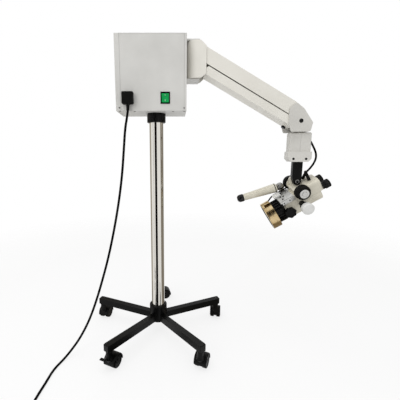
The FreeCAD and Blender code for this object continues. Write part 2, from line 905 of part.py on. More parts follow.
bezel = Solid("switch_bezel")
window = centred(z.switch_centre, z.bezel_half_wide - z.bezel_frame, switch_height,
                 z.bezel_half_tall - z.bezel_frame)
bezel.pad("XZ", [centred(z.switch_centre, z.bezel_half_wide, switch_height, z.bezel_half_tall)],
          front - z.bezel_proud, front)
bezel.pad("XZ", [centred(z.switch_centre, z.bezel_half_wide - z.bezel_lip, switch_height,
                         z.bezel_half_tall - z.bezel_lip)], front, front + z.bezel_deep)
bezel.pocket("XZ", [window], front - z.bezel_proud - PAST, front + z.bezel_deep - z.bezel_floor)
pivot_deep = front + z.rocker_pivot_deep
pin_room = z.rocker_half_wide + z.rocker_pin_out + z.rocker_pin_play
bezel.pocket("YZ", [Round(pivot_deep, switch_height, z.rocker_pin_radius + z.bearing_fit)],
             z.switch_centre - pin_room, z.switch_centre + pin_room)
pieces.append(bezel.body)

rocker = Solid("switch_rocker", Frame(spot=(z.switch_centre, pivot_deep, switch_height)))
thick = z.rocker_thick
rocker.pad("YZ", [[
    (-z.rocker_proud_high, z.rocker_half_tall), (-z.rocker_pivot_deep - z.rocker_proud_middle + thick, 0),
    (-z.rocker_proud_low, -z.rocker_half_tall), (-z.rocker_proud_low + thick, -z.rocker_half_tall),
    (z.rocker_back, 0), (-z.rocker_proud_high + thick, z.rocker_half_tall),
]], -z.rocker_half_wide, z.rocker_half_wide)
pin_end = z.rocker_half_wide + z.rocker_pin_out
rocker.pad("YZ", [Round(0, 0, z.rocker_pin_radius)], -pin_end, pin_end)
pieces.append(rocker.body)

# Fixed clevis on the right side of the box, with two short swing pins
clevis = Solid("shoulder_clevis")
clevis.pad("XY", [block(clevis_start, clevis_start + z.clevis_back, -z.clevis_half, z.clevis_half)],
           clevis_bottom, clevis_top)
for low in clevis_plates:
    clevis.pad("XY", [block(clevis_start, z.clevis_end, -z.clevis_half, z.clevis_half)], low,
               low + z.clevis_plate)
clevis.pocket("XY", [Round(z.swing_axis, 0, z.swing_pin_radius)], clevis_bottom - PAST, clevis_top + PAST)
pieces.append(clevis.body)

bracket_low = clevis_bottom + z.clevis_plate + z.swing_gap
bracket_high = clevis_top - z.clevis_plate - z.swing_gap
plate_top = bracket_low + z.bracket_plate
plate_under = bracket_high - z.bracket_plate
pin_low = Solid("swing_pin_low")
pin_low.pad("XY", [Round(z.swing_axis, 0, z.swing_pin_radius)], clevis_bottom, plate_top + z.swing_gap)
pin_high = Solid("swing_pin_high")
pin_high.pad("XY", [Round(z.swing_axis, 0, z.swing_pin_radius)], plate_under - z.swing_gap, clevis_top)
pieces.append(lifted("swing_pins", [pin_low, pin_high]))

# Swing bracket, a bent plate open towards the arm
bracket = Solid("swing_bracket")
bracket.pad("XY", [Round(z.swing_axis, 0, z.bracket_radius)], bracket_low, bracket_high)
bracket.pad("XY", [block(z.swing_axis, z.bracket_nose, -z.bracket_radius, z.bracket_radius)], bracket_low,
            bracket_high)
bracket.pocket("XY", [block(z.bracket_nose, z.bracket_nose + z.bracket_radius, -z.bracket_radius,
                            z.bracket_radius)],
               bracket_low, bracket_high)
inner = z.bracket_radius - z.bracket_wall
bracket.pocket("XY", [Round(z.swing_axis, 0, inner)], plate_top, plate_under)
bracket.pocket("XY", [block(z.swing_axis, z.bracket_nose + PAST, -inner, inner)], plate_top, plate_under)
bracket.pocket("XZ", [
    [(z.bracket_foot, bracket_low), (z.bracket_nose + PAST, bracket_low - PAST),
     (z.bracket_nose + PAST, z.bracket_nose_low), (z.bracket_nose, z.bracket_nose_low)],
    [(z.bracket_brow, bracket_high), (z.bracket_nose, z.bracket_nose_high),
     (z.bracket_nose + PAST, z.bracket_nose_high), (z.bracket_nose + PAST, bracket_high + PAST)],
], -z.bracket_radius - PAST, z.bracket_radius + PAST)
for low, high in ((bracket_low - PAST, plate_top + PAST), (plate_under - PAST, bracket_high + PAST)):
    bracket.pocket("XY", [block(z.bracket_plate_end, z.bracket_nose + PAST, -inner, inner)], low, high)
bracket.pocket("XY", [Round(z.swing_axis, 0, z.swing_pin_radius + z.bearing_fit)], bracket_low - PAST,
               bracket_high + PAST)
pieces.append(bracket.body)

# Parallelogram arm: both links hang on four level pins
run = z.elbow_spot - z.shoulder_spot
fall = z.shoulder_height - z.elbow_height
arm_long = root_of_squares(run, fall)
arm_pitch = arc_tangent(fall, run)
upper_frame = Frame(spot=(z.shoulder_spot, 0, z.shoulder_height), pitch=arm_pitch)
lower_frame = Frame(spot=(z.shoulder_spot, 0, z.shoulder_height - z.link_drop), pitch=arm_pitch)


def link_pin(label, spot, height, half, head):
    """Level pin across the arm, with a head on both sides where it shows."""
    pin = Solid(label, Frame(spot=(spot, 0, height)))
    pin.pad("XZ", [Round(0, 0, z.pivot_pin_radius)], -half, half)
    if head:
        pin.pad("XZ", [Round(0, 0, z.pivot_head_radius)], half, half + z.pivot_head)
        pin.pad("XZ", [Round(0, 0, z.pivot_head_radius)], -half - z.pivot_head, -half)
    return pin


shoulder_low = z.shoulder_height - z.link_drop
elbow_low = z.elbow_height - z.link_drop
pieces.append(lifted("shoulder_pins", [
    link_pin("shoulder_pin_high", z.shoulder_spot, z.shoulder_height, inner, False),
    link_pin("shoulder_pin_low", z.shoulder_spot, shoulder_low, inner, False),
]))
cover_inner = z.cover_half - z.cover_wall
pieces.append(lifted("elbow_pins", [
    link_pin("elbow_pin_high", z.elbow_spot, z.elbow_height, z.cover_half, True),
    link_pin("elbow_pin_low", z.elbow_spot, elbow_low, cover_inner, False),
]))

pin_hole = z.pivot_pin_radius + z.bearing_fit
half_shell = z.shell_half
skin = z.shell_wall
upper = Solid("upper_arm", upper_frame)
upper.pad("XZ", [[
    (-z.shell_clip, 0), (0, 0), (arm_long, 0), (arm_long, z.shell_ear),
    (arm_long - z.shell_end_low, z.shell_ear + z.shell_end_rise),
    (arm_long - z.shell_end_back, z.shell_tall), (0, z.shell_tall),
    (-z.shell_clip, z.shell_tall - z.shell_clip),
]], -half_shell, half_shell)
for spot in (as_size(0), arm_long):
    upper.pad("XZ", [Round(spot, 0, z.shell_ear)], -half_shell, half_shell)
upper.pocket("XZ", [[
    (-z.shell_clip - skin, -z.shell_ear - PAST), (arm_long + z.shell_ear + PAST, -z.shell_ear - PAST),
    (arm_long + z.shell_ear + PAST, z.shell_tall + PAST),
    (arm_long - z.shell_end_back + skin, z.shell_tall + PAST),
    (arm_long - z.shell_end_back + skin, z.shell_tall - skin),
    (0, z.shell_tall - skin), (-z.shell_clip - skin, z.shell_tall - skin - z.shell_clip - skin),
]], -half_shell + skin, half_shell - skin)
upper.pocket("XZ", [Round(0, 0, pin_hole), Round(arm_long, 0, pin_hole)], -half_shell - PAST,
             half_shell + PAST)
pieces.append(upper.body)

lower = Solid("lower_arm", lower_frame)
lower_end = arm_long - z.lower_stop
lower.pad("XZ", [[
    (0, -z.lower_ear), (z.lower_start - z.lower_ramp, -z.lower_ear), (z.lower_start, -z.lower_bottom),
    (lower_end, -z.lower_bottom), (lower_end + z.lower_ramp, -z.lower_ear),
    (arm_long, -z.lower_ear), (arm_long, z.lower_strap), (lower_end + z.lower_step, z.lower_strap),
    (lower_end, z.lower_top), (z.lower_start, z.lower_top), (z.lower_start - z.lower_step, z.lower_strap),
    (0, z.lower_strap),
]], -half_shell, half_shell)
for spot in (as_size(0), arm_long):
    lower.pad("XZ", [Round(spot, 0, z.lower_ear)], -half_shell, half_shell)
lower.pocket("XZ", [block(-z.lower_ear - PAST, z.lower_start - PAST, -z.lower_bottom - PAST,
                          z.lower_top + PAST)],
             -half_shell + skin, half_shell - skin)
lower.pocket("XZ", [block(lower_end + PAST, arm_long + z.lower_ear + PAST, -z.lower_bottom - PAST,
                          z.lower_top + PAST)],
             -half_shell + skin, half_shell - skin)
lower.pocket("XZ", [block(z.lower_start - skin, lower_end + skin, -z.lower_bottom + skin,
                          z.lower_top + PAST)],
             -half_shell + skin, half_shell - skin)
lower.pocket("XZ", [Round(0, 0, pin_hole), Round(arm_long, 0, pin_hole)], -half_shell - PAST,
             half_shell + PAST)
lock_left, lock_right = z.lock_spot - z.lock_block_half, z.lock_spot + z.lock_block_half
lower.pad("XY", [block(lock_left, lock_right, -z.lock_block_half, z.lock_block_half)],
          -z.lower_bottom - z.lock_block, -z.lower_bottom + skin)
lower.pocket("XY", [Round(z.lock_spot, 0, z.lock_stem_radius + z.bearing_fit)],
             -z.lower_bottom - z.lock_block - PAST, -z.lower_bottom + skin + PAST)
pieces.append(lower.body)

spring = Solid("gas_spring", Frame(spot=(0, 0, z.spring_height), parent=upper_frame))
spring.revolve_x([
    (z.spring_start, 0), (z.spring_start, z.spring_radius), (z.spring_body_end, z.spring_radius),
    (z.spring_body_end, z.spring_rod_radius), (z.spring_end, z.spring_rod_radius), (z.spring_end, 0),
])
for spot in (z.spring_start, z.spring_end):
    spring.pad("XZ", [Round(spot, 0, z.spring_pin_radius)], -half_shell + skin, half_shell - skin)
pieces.append(spring.body)

lock = Solid("arm_lock_screw", Frame(spot=(z.lock_spot, 0, -z.lower_bottom), parent=lower_frame))
lock.pad("XY", [Round(0, 0, z.lock_stem_radius)], -z.lock_block, z.lock_stem_in)
lock.pad("XY", [Round(0, 0, z.lock_knob_radius)], -z.lock_block - z.lock_knob_tall, -z.lock_block)
pieces.append(lock.body)

# Elbow cover
cover = Solid("elbow_cover")
cover_left = z.elbow_spot - z.cover_left
cover_right = z.elbow_spot + z.cover_right
foot_right = z.elbow_spot + z.cover_foot_right
roof_right = z.elbow_spot + z.cover_roof_right
floor_left = z.elbow_spot - z.cover_floor_left
eave = z.elbow_height - z.cover_eave
shoulder = z.elbow_height + z.cover_shoulder
peak = z.elbow_height + z.cover_peak
floor_top = elbow_low - z.lower_ear - z.cover_foot_gap
foot = floor_top - z.cover_floor
cover.pad("XZ", [[
    (cover_left, eave), (z.elbow_spot - z.cover_foot_left, foot), (foot_right, foot), (cover_right, eave),
    (roof_right, shoulder), (z.elbow_spot - z.cover_peak_left, peak), (cover_left, shoulder),
]], -z.cover_half, z.cover_half)
cover.edges("Fillet", z.cover_round, lambda edge: along(edge, Y_AXIS))
cover.pocket("XZ", [[
    (cover_left - PAST, foot - PAST), (floor_left, foot - PAST), (floor_left, floor_top),
    (foot_right - z.cover_wall, floor_top), (cover_right - z.cover_slope_wall, eave),
    (roof_right - z.cover_wall, shoulder - z.cover_slope_wall), (roof_right - z.cover_wall, peak + PAST),
    (cover_left - PAST, peak + PAST),
]], -cover_inner, cover_inner)
cover.pocket("XZ", [Round(z.elbow_spot, z.elbow_height, z.pivot_pin_radius)], -z.cover_half - PAST,
             z.cover_half + PAST)
cover.pocket("XY", [Round(z.drop_spot, 0, z.shaft_radius + z.bearing_fit)], foot - PAST, floor_top + PAST)
pieces.append(cover.body)

# Drop column
drop = Frame(spot=(z.drop_spot, 0, 0), yaw=z.drop_yaw)
halves = Solid("drop_cover", drop, many=True)
halves.pad("XY", [mirrored(z.drop_cover_half_wide, -z.drop_cover_half_deep, z.drop_cover_half_deep)],
           z.drop_cover_low, z.drop_cover_high)
halves.edges("Fillet", z.drop_cover_round, lambda edge: along(edge, Z_AXIS)
             or middle(edge).z > z.drop_cover_high.value - 0.1)
room_wide = z.drop_cover_half_wide - z.drop_cover_wall
room_deep = z.drop_cover_half_deep - z.drop_cover_wall
halves.pocket("XY", [mirrored(room_wide, -room_deep, room_deep)], z.drop_cover_low - PAST,
              z.drop_cover_high - z.drop_cover_wall)
halves.pocket("XY", [Round(0, 0, z.shaft_radius)], z.drop_cover_low, z.drop_cover_high + PAST)
halves.pocket("XY", [mirrored(z.drop_cover_seam / 2, -z.drop_cover_half_deep - PAST,
                              z.drop_cover_half_deep + PAST)],
              z.drop_cover_low - PAST, z.drop_cover_high + PAST)
pieces.append(halves.body)

clamp = Solid("clamp_block", drop)
clamp.pad("XZ", [[
    (-z.clamp_half_wide, z.clamp_low + z.clamp_chamfer), (-z.clamp_flat_half, z.clamp_low),
    (z.clamp_flat_half, z.clamp_low), (z.clamp_half_wide, z.clamp_low + z.clamp_chamfer),
    (z.clamp_half_wide, z.drop_cover_low), (-z.clamp_half_wide, z.drop_cover_low),
]], -z.clamp_half_deep, z.clamp_half_deep)
clamp.edges("Fillet", z.drop_cover_round, lambda edge: along(edge, Z_AXIS))
clamp.pocket("XZ", [Round(-z.clamp_screw_offset, z.clamp_screw_height, z.clamp_screw_radius),
                    Round(z.clamp_screw_offset, z.clamp_screw_height, z.clamp_screw_radius)],
             -z.clamp_half_deep - PAST, -z.clamp_half_deep + z.clamp_screw_deep)
clamp.pocket("XY", [Round(0, 0, z.shaft_radius)], z.clamp_low - PAST, z.drop_cover_low + PAST)
pieces.append(clamp.body)

tilt_across = z.tilt_spot - z.drop_spot
tongue_height = z.tilt_height
post = Solid("yoke_post", drop)
post.pad("XZ", [[
    (-z.post_half_wide, z.clamp_low), (-z.post_half_wide, tongue_height + z.post_taper_start),
    (tilt_across - z.tongue_radius, tongue_height), (tilt_across + z.tongue_radius, tongue_height),
    (z.post_half_wide, tongue_height + z.post_taper_start), (z.post_half_wide, z.clamp_low),
]], -z.post_half_deep, z.post_half_deep)
post.pad("XZ", [Round(tilt_across, tongue_height, z.tongue_radius)], -z.post_half_deep, z.post_half_deep)
nut_low = floor_top + z.shaft_nut_gap
post.pad("XY", [Round(0, 0, z.shaft_radius)], z.clamp_low, nut_low)
post.pad("XY", [Round(0, 0, z.shaft_nut_radius)], nut_low, nut_low + z.shaft_nut)
post.pocket("XZ", [Round(tilt_across, tongue_height, z.tilt_pin_radius + z.bearing_fit)],
            -z.post_half_deep - PAST, z.post_half_deep + PAST)
pieces.append(post.body)

tilt = Frame(spot=(z.tilt_spot, 0, z.tilt_height), yaw=z.drop_yaw, pitch=z.head_pitch)
pin = Solid("tilt_pin", tilt)
boss_start = z.post_half_deep + z.tongue_fit
boss_end = boss_start + z.tilt_boss_long
pin_tip = boss_end - z.tilt_pin_short
pin.pad("XZ", [Round(0, 0, z.tilt_pin_radius)], -boss_start, pin_tip)
pin.pad("XZ", [Round(0, 0, z.tilt_pin_head_radius)], -boss_start - z.tilt_pin_head, -boss_start)
pieces.append(pin.body)

# Optical head
head = Frame(spot=(z.head_spot, 0, z.head_height), yaw=z.drop_yaw, pitch=z.head_pitch, roll=z.head_roll)
casting = Solid("head_casting", head)
casting.pad("XZ", [block(-z.block_front, z.block_back, -z.barrel_drop, z.block_top)], -z.block_half,
            z.block_half)
casting.edges("Fillet", z.block_round, lambda edge: along(edge, X_AXIS) and middle(edge).z > 0)
casting.pad("YZ", [Round(0, -z.barrel_drop, z.barrel_radius)], -z.barrel_front, z.barrel_back)
casting.pad("XZ", [block(-z.deck_front, -z.block_front + PAST, -z.barrel_drop, -z.deck_top)], -z.deck_half,
            z.deck_half)
casting.pad("XY", [block(-z.foot_spot - z.foot_half, -z.foot_spot + z.foot_half, -z.foot_side,
                         -z.foot_inner)],
            -z.foot_low, -z.barrel_drop)
casting.pad("XZ", [Round(0, 0, z.shaft_boss_radius)], -z.shaft_boss_end, -z.block_half + PAST)
casting.pad("XZ", [Round(0, 0, z.shaft_boss_radius)], z.block_half - PAST, z.shaft_boss_end)
lug = Solid("tilt_lug", tilt)
lug.pad("XZ", [Round(0, 0, z.tilt_boss_radius)], boss_start, boss_end)
whole_head = fused("head_with_lug", [casting, lug])
hollow = Solid("tongue_hollow", tilt)
hollow.pad("XZ", [Round(0, 0, z.tongue_radius + z.tongue_room)], -z.tongue_room_long, boss_start)
hollow_pin = Solid("pin_hollow", tilt)
hollow_pin.pad("XZ", [Round(0, 0, z.tilt_pin_radius)], 0, pin_tip)
hollow_shaft = Solid("shaft_hollow", head)
hollow_shaft.pad("XZ", [Round(0, 0, z.drum_shaft_radius + z.bearing_fit)], -z.grip_start, z.grip_start)
pieces.append(carved("head_body", whole_head, fused("head_hollows", [hollow, hollow_pin, hollow_shaft])))

shaft = Solid("magnification_shaft", head)
cap_out = z.grip_end + z.drum_cap
shaft.revolve_y([
    (-cap_out - z.drum_ring, z.drum_ring_inner), (-cap_out - z.drum_ring, z.drum_ring_radius),
    (-cap_out, z.drum_ring_radius), (-cap_out, z.drum_cap_radius), (-z.grip_end, z.drum_cap_radius),
    (-z.grip_end, z.drum_shaft_radius), (z.grip_end, z.drum_shaft_radius), (z.grip_end, z.drum_cap_radius),
    (cap_out, z.drum_cap_radius), (cap_out, 0), (-cap_out, 0), (-cap_out, z.drum_ring_inner),
])
pieces.append(shaft.body)
grips = Solid("magnification_grips", head, many=True)
for side in (-1, 1):
    ends = [(side * z.grip_start, z.drum_shaft_radius), (side * z.grip_start, z.grip_radius),
            (side * z.grip_step, z.grip_radius), (side * z.grip_end, z.grip_end_radius),
            (side * z.grip_end, z.drum_shaft_radius)]
    grips.revolve_y(ends)
pieces.append(grips.body)

prism = Solid("prism_shell", head)
prism.pad("XZ", [block(z.block_back, z.prism_back, -z.prism_low, z.prism_top)], -z.prism_half, z.prism_half)
prism.edges("Fillet", z.prism_round, lambda edge: along(edge, X_AXIS) and middle(edge).z > 0)
prism.pocket("XY", [
    block(z.block_back - PAST, z.prism_back + PAST, -z.prism_half - PAST, -z.prism_half + z.seam_gap),
    block(z.block_back - PAST, z.prism_back + PAST, z.prism_half - z.seam_gap, z.prism_half + PAST),
], -z.seam_height - z.seam_gap, -z.seam_height)
prism.pocket("YZ", [Round(0, -z.barrel_drop, z.barrel_radius)], z.block_back - PAST, z.barrel_back)
lug_room = Solid("lug_room", tilt)
lug_room.pad("XZ", [Round(0, 0, z.tilt_boss_radius)], boss_start, boss_end)
pieces.append(carved("prism_cover", prism.body, fused("prism_hollows", [lug_room, hollow])))

for side, label in ((-1, "dioptre_ring_left"), (1, "dioptre_ring_right")):
    eye = Frame(spot=(z.prism_back, side * z.eye_offset, -z.eye_drop), parent=head)
    ring = Solid(label, eye)
    ring.revolve_x([
        (0, 0), (0, z.eye_neck_radius), (z.eye_neck, z.eye_neck_radius), (z.eye_neck, z.eye_radius),
        (z.eye_long, z.eye_radius), (z.eye_long, z.eye_bore), (z.eye_long - z.eye_bore_deep, z.eye_bore),
        (z.eye_long - z.eye_bore_deep, 0),
    ])
    pieces.append(ring.body)

# Focusing slide with the heat sink and the ring light
slide = Solid("slide_plate", head)
plate_low = -z.deck_top + z.plate_gap
slide.pad("XZ", [block(-z.plate_front, -z.plate_back, plate_low, plate_low + z.plate_thick)],
          -z.rail_outer, z.plate_half)
slide.pad("XZ", [block(-z.flange_back, -z.plate_back, -z.rail_low, plate_low + z.plate_thick)],
          -z.rail_outer, -z.rail_inner)
slide.pad("XZ", [block(-z.block_on_plate_front, -z.block_on_plate_back, plate_low + z.plate_thick,
                       z.block_on_plate_top)], z.block_on_plate_inner, z.block_on_plate_outer)
pieces.append(slide.body)

sink = Solid("sink_core", head)
flange_front = -z.flange_back - z.flange_thick
sink.pad("YZ", [block(-z.flange_half, z.flange_half, -z.barrel_drop, plate_low)], flange_front,
         -z.flange_back)
sink.pad("YZ", [Round(0, -z.barrel_drop, z.barrel_drop + plate_low - z.flange_gap)], flange_front,
         -z.flange_back)
sink.pad("YZ", [Round(0, -z.barrel_drop, z.sink_core)], -z.sink_front, flange_front)
sink.pocket("YZ", [Round(0, -z.barrel_drop, z.sink_bore)], -z.sink_floor, -z.flange_back + PAST)
sink.pocket("YZ", [Round(0, -z.barrel_drop, z.ring_bore)], -z.sink_front - PAST, -z.sink_floor + PAST)
fin_frame = Frame(spot=(0, 0, -z.barrel_drop), parent=head)
fins = Solid("sink_fins", fin_frame, many=True)
fin = fins.pad("XY", [block(-z.sink_front, flange_front, -z.sink_fin_thick / 2, z.sink_fin_thick / 2)],
               z.sink_core - PAST, z.sink_fin_radius)
fins.repeat([fin], "X", z.sink_fin_count)
pieces.append(fused("heat_sink", [sink, fins]))

lamp = Solid("ring_light", head)
lamp.pad("YZ", [Round(0, -z.barrel_drop, z.ring_radius)], -z.ring_front, -z.sink_front)
lamp.pocket("YZ", [Round(0, -z.barrel_drop, z.ring_radius - z.ring_wall)], -z.ring_front - PAST,
            -z.sink_front - z.ring_back_plate)
lamp.pocket("YZ", [Round(0, -z.barrel_drop, z.ring_bore)], -z.ring_front - PAST, -z.sink_front + PAST)
pieces.append(lamp.body)

leds = Solid("led_ring", Frame(spot=(0, 0, -z.barrel_drop), parent=head))
leds.pad("YZ", [Round(0, 0, z.ring_radius - z.ring_wall), Round(0, 0, z.ring_bore)], -z.led_front,
         -z.led_front + z.led_thick)
one_led = leds.pocket("YZ", [Round(z.led_circle, 0, z.led_radius)], -z.led_front - PAST,
                      -z.led_front + z.led_deep)
leds.repeat([one_led], "X", z.led_count)
pieces.append(leds.body)

glass = Solid("objective_lens", Frame(spot=(-z.led_front, 0, -z.barrel_drop), parent=head))
glass.revolve_x([(-z.lens_bulge, 0), (0, z.ring_bore), (z.lens_thick, z.ring_bore), (z.lens_thick, 0)])
pieces.append(glass.body)

# Knobs
lobed = Solid("slide_lock_knob", Frame(spot=(-z.lock_knob_spot, 0, -z.lock_knob_drop), parent=head))
lobed.pad("XZ", [Round(0, 0, z.lock_knob_lobe)], -z.lock_knob_near, -z.lock_knob_far)
scallop_spot = z.lock_knob_lobe + z.lock_knob_scallop - z.lock_knob_bite
scallop = lobed.pocket("XZ", [Round(scallop_spot, 0, z.lock_knob_scallop)], -z.lock_knob_near - PAST,
                       -z.lock_knob_far + PAST)
lobed.repeat([scallop], "Y", z.lock_knob_lobes)
lobed.pad("XZ", [Round(0, 0, z.lock_knob_stem)], -z.lock_knob_far, -z.deck_half - z.bearing_fit)
pieces.append(lobed.body)

focus = Solid("focus_knob", Frame(spot=(-z.focus_spot, 0, -z.focus_drop), parent=head))
focus.revolve_y([
    (-z.focus_near, 0), (-z.focus_near, z.focus_radius - z.focus_chamfer),
    (-z.focus_near + z.focus_chamfer, z.focus_radius),
    (-z.focus_far, z.focus_radius), (-z.focus_far, z.focus_neck_radius),
    (-z.focus_disc_near, z.focus_neck_radius), (-z.focus_disc_near, z.focus_disc_radius),
    (-z.focus_disc_far, z.focus_disc_radius), (-z.focus_disc_far, z.focus_neck_radius),
    (-z.focus_neck_far, z.focus_neck_radius), (-z.focus_neck_far, 0),
])
pieces.append(focus.body)

# Handle on the far side, on a knuckle that a bracket holds off the casting
joint_at = (-z.joint_spot, z.joint_side, z.joint_height)
socket = Solid("joint_bracket", head)
socket.pad("XY", [block(-z.joint_spot - z.joint_foot_half, -z.joint_spot + z.joint_foot_half, z.deck_half,
                        z.joint_side + z.joint_foot_half)], z.joint_foot_low, z.joint_foot_low + z.joint_foot)
socket.pad("XY", [Round(-z.joint_spot, z.joint_side, z.joint_neck_radius)], z.joint_foot_low, z.joint_height)
knuckle = Solid("joint_knuckle", Frame(spot=joint_at, parent=head))
end = z.joint_half + z.joint_chamfer
end_radius = z.joint_radius - z.joint_chamfer
knuckle.revolve_y([
    (-end, 0), (-end, end_radius), (-z.joint_half, z.joint_radius), (z.joint_half, z.joint_radius),
    (end, end_radius), (end, 0),
])
pieces.append(fused("handle_joint", [socket, knuckle]))
handle = Frame(spot=joint_at, parent=head)
handle = Frame(yaw=z.handle_yaw, pitch=-z.handle_pitch, parent=handle)
grip = Solid("handle_grip", handle)
cup_start = z.joint_radius + z.joint_play
grip.revolve_x([
    (cup_start, 0), (cup_start, z.cup_radius), (z.cup_end, z.cup_radius),
    (z.grip_long, z.grip_tip_radius), (z.grip_long, 0),
])
pieces.append(grip.body)
knob = Solid("handle_ball", handle)
knob.revolve_x([
    (z.grip_long, 0), (z.grip_long, z.ball_neck_radius), (z.grip_long + z.ball_start, z.ball_radius),
    (z.grip_long + z.ball_stop, z.ball_radius), (z.grip_long + z.ball_round, z.ball_round_radius),
    (z.grip_long + z.ball_long, 0),
])
pieces.append(knob.body)

# Cables between the column, the head and the ring light
pieces.append(tube("head_cable", HEAD_ROUTE, SIZES["cable_radius"], drop))
pieces.append(tube("ring_cable", RING_ROUTE, SIZES["wire_radius"], head))
left_port = (SIZES["port_left_spot"], SIZES["port_left_side"], SIZES["prism_top"])
right_port = (SIZES["port_right_spot"], SIZES["port_right_side"], SIZES["prism_top"])
splitter = (SIZES["splitter_spot"], SIZES["splitter_side"], SIZES["splitter_height"])
plugs = Part.makeSphere(SIZES["splitter_radius"], Vector(*splitter))
for port in (left_port, right_port):
    plugs = plugs.fuse(rod(port, splitter, SIZES["port_radius"]))
pieces.append(shaped("cable_plugs", plugs, head))

# Mains cord, its coil of put-away length and its plug, on the floor
cord_exit = (-z.inlet_centre, plug_front + z.relief_out, relief_bottom - z.relief_long)
from_inlet = [tuple(size.value for size in cord_exit)] + MAINS_ROUTE
pieces.append(lifted("mains_cord", [
    tube("cord_from_inlet", from_inlet, SIZES["cord_radius"]),
    tube("cord_to_plug", PLUG_ROUTE, SIZES["cord_radius"]),
]))
coil = Solid("cord_coil", Frame(spot=(-z.coil_left, -z.coil_near, 0)))
coil_in = z.coil_radius - z.coil_half_turns * z.cord_radius
coil_out = z.coil_radius + z.coil_half_turns * z.cord_radius
coil_high = z.coil_layers * z.cord_radius
cut = z.coil_chamfer
coil.revolve_z([
    (coil_in + cut, 0), (coil_out - cut, 0), (coil_out, cut), (coil_out, coil_high - cut),
    (coil_out - cut, coil_high), (coil_in + cut, coil_high), (coil_in, coil_high - cut), (coil_in, cut),
])
pieces.append(coil.body)
wall_plug = Solid("mains_plug", Frame(spot=PLUG_ROUTE[-1][:2] + (0,), yaw=z.wall_plug_yaw))
wall_plug.pad("YZ", [mirrored(z.wall_plug_half, 0, z.wall_plug_high)], 0, z.wall_plug_long)
wall_plug.edges("Fillet", z.plug_round, lambda edge: along(edge, X_AXIS))
for side in (-1, 1):
    wall_plug.pad("YZ", [Round(side * z.pin_offset, z.wall_plug_high / 2, z.pin_radius)], z.wall_plug_long,
                  z.wall_plug_long + z.pin_long)
pieces.append(wall_plug.body)

doc.recompute()
for item in doc.Objects:
    bad = [state for state in item.State if state in ("Invalid", "Error")]
    if bad:
        raise SystemExit(f"{item.Label} is {bad}")
os.makedirs("parts", exist_ok=True)
for item in pieces:
    if item.Shape.isNull() or not item.Shape.isValid():
        raise SystemExit(f"{item.Label} has no valid shape")
    item.Shape.exportStep(f"parts/{item.Label}.step")
print(len(pieces), "pieces written")
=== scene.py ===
import json
import math

import bmesh
import bpy
from mathutils import Euler, Matrix, Vector


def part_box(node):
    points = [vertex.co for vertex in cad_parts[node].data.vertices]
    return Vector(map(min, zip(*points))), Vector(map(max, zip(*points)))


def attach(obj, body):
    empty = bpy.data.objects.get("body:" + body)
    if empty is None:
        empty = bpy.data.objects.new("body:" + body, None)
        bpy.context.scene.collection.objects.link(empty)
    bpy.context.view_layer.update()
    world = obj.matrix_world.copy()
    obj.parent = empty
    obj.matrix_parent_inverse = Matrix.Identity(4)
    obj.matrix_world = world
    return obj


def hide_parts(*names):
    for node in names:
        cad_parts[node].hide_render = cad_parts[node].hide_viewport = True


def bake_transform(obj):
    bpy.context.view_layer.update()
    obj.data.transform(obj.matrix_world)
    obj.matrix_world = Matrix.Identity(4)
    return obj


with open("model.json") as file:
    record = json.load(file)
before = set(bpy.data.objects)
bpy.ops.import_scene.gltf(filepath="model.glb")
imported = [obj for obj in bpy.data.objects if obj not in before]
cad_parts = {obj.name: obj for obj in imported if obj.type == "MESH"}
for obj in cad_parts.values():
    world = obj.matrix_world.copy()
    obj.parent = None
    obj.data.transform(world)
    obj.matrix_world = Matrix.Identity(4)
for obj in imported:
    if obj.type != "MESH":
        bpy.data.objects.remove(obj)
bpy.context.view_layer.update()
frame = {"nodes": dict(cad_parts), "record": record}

MM = 0.001
node_objects = frame["nodes"]


# Frames of the groups, in millimetres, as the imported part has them
def placed(spot=(0, 0, 0), yaw=0, pitch=0, roll=0, parent=None):
    """Local axes at a spot, turned by roll, then pitch, then yaw."""
    turn = Euler((math.radians(roll), math.radians(pitch), math.radians(yaw)), "XYZ")
    own = Matrix.Translation(Vector(spot)) @ turn.to_matrix().to_4x4()
    return parent @ own if parent else own


def middle_of(node):
    """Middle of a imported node's box, in millimetres."""
    return [(low + high) / 2 / MM for low, high in zip(*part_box(node))]


LOCAL = placed()
POLE = middle_of("pole")
WORLD = placed((POLE[0], POLE[1], 0))
LOWER = placed((170, 0, 1133), pitch=29.44, parent=WORLD)
DROP = placed((585, 0, 0), yaw=-9, parent=WORLD)
TILT = placed((587, 0, 689.5), yaw=-9, pitch=-32, parent=WORLD)
HEAD = placed((588, 0, 664.7), yaw=-9, pitch=-32, roll=15.5, parent=WORLD)
HANDLE = placed((-47, 60, 8), yaw=180, pitch=-14.4, parent=HEAD)
BARREL = -60
# The base: a leg every 72 degrees, and the way each caster trails
LEG_YAWS = [18 + 72 * k for k in range(5)]
TRAILS = [80, 12, 75, 66, 66]
LEG_SLOPE = 17 / 266.5


# Finishes
def light_value(colour):
    """A screen colour from 0 to 255 as the linear value that the shader takes."""
    shares = [c / 255 for c in colour]
    return [s / 12.92 if s <= 0.04045 else ((s + 0.055) / 1.055) ** 2.4 for s in shares] + [1]


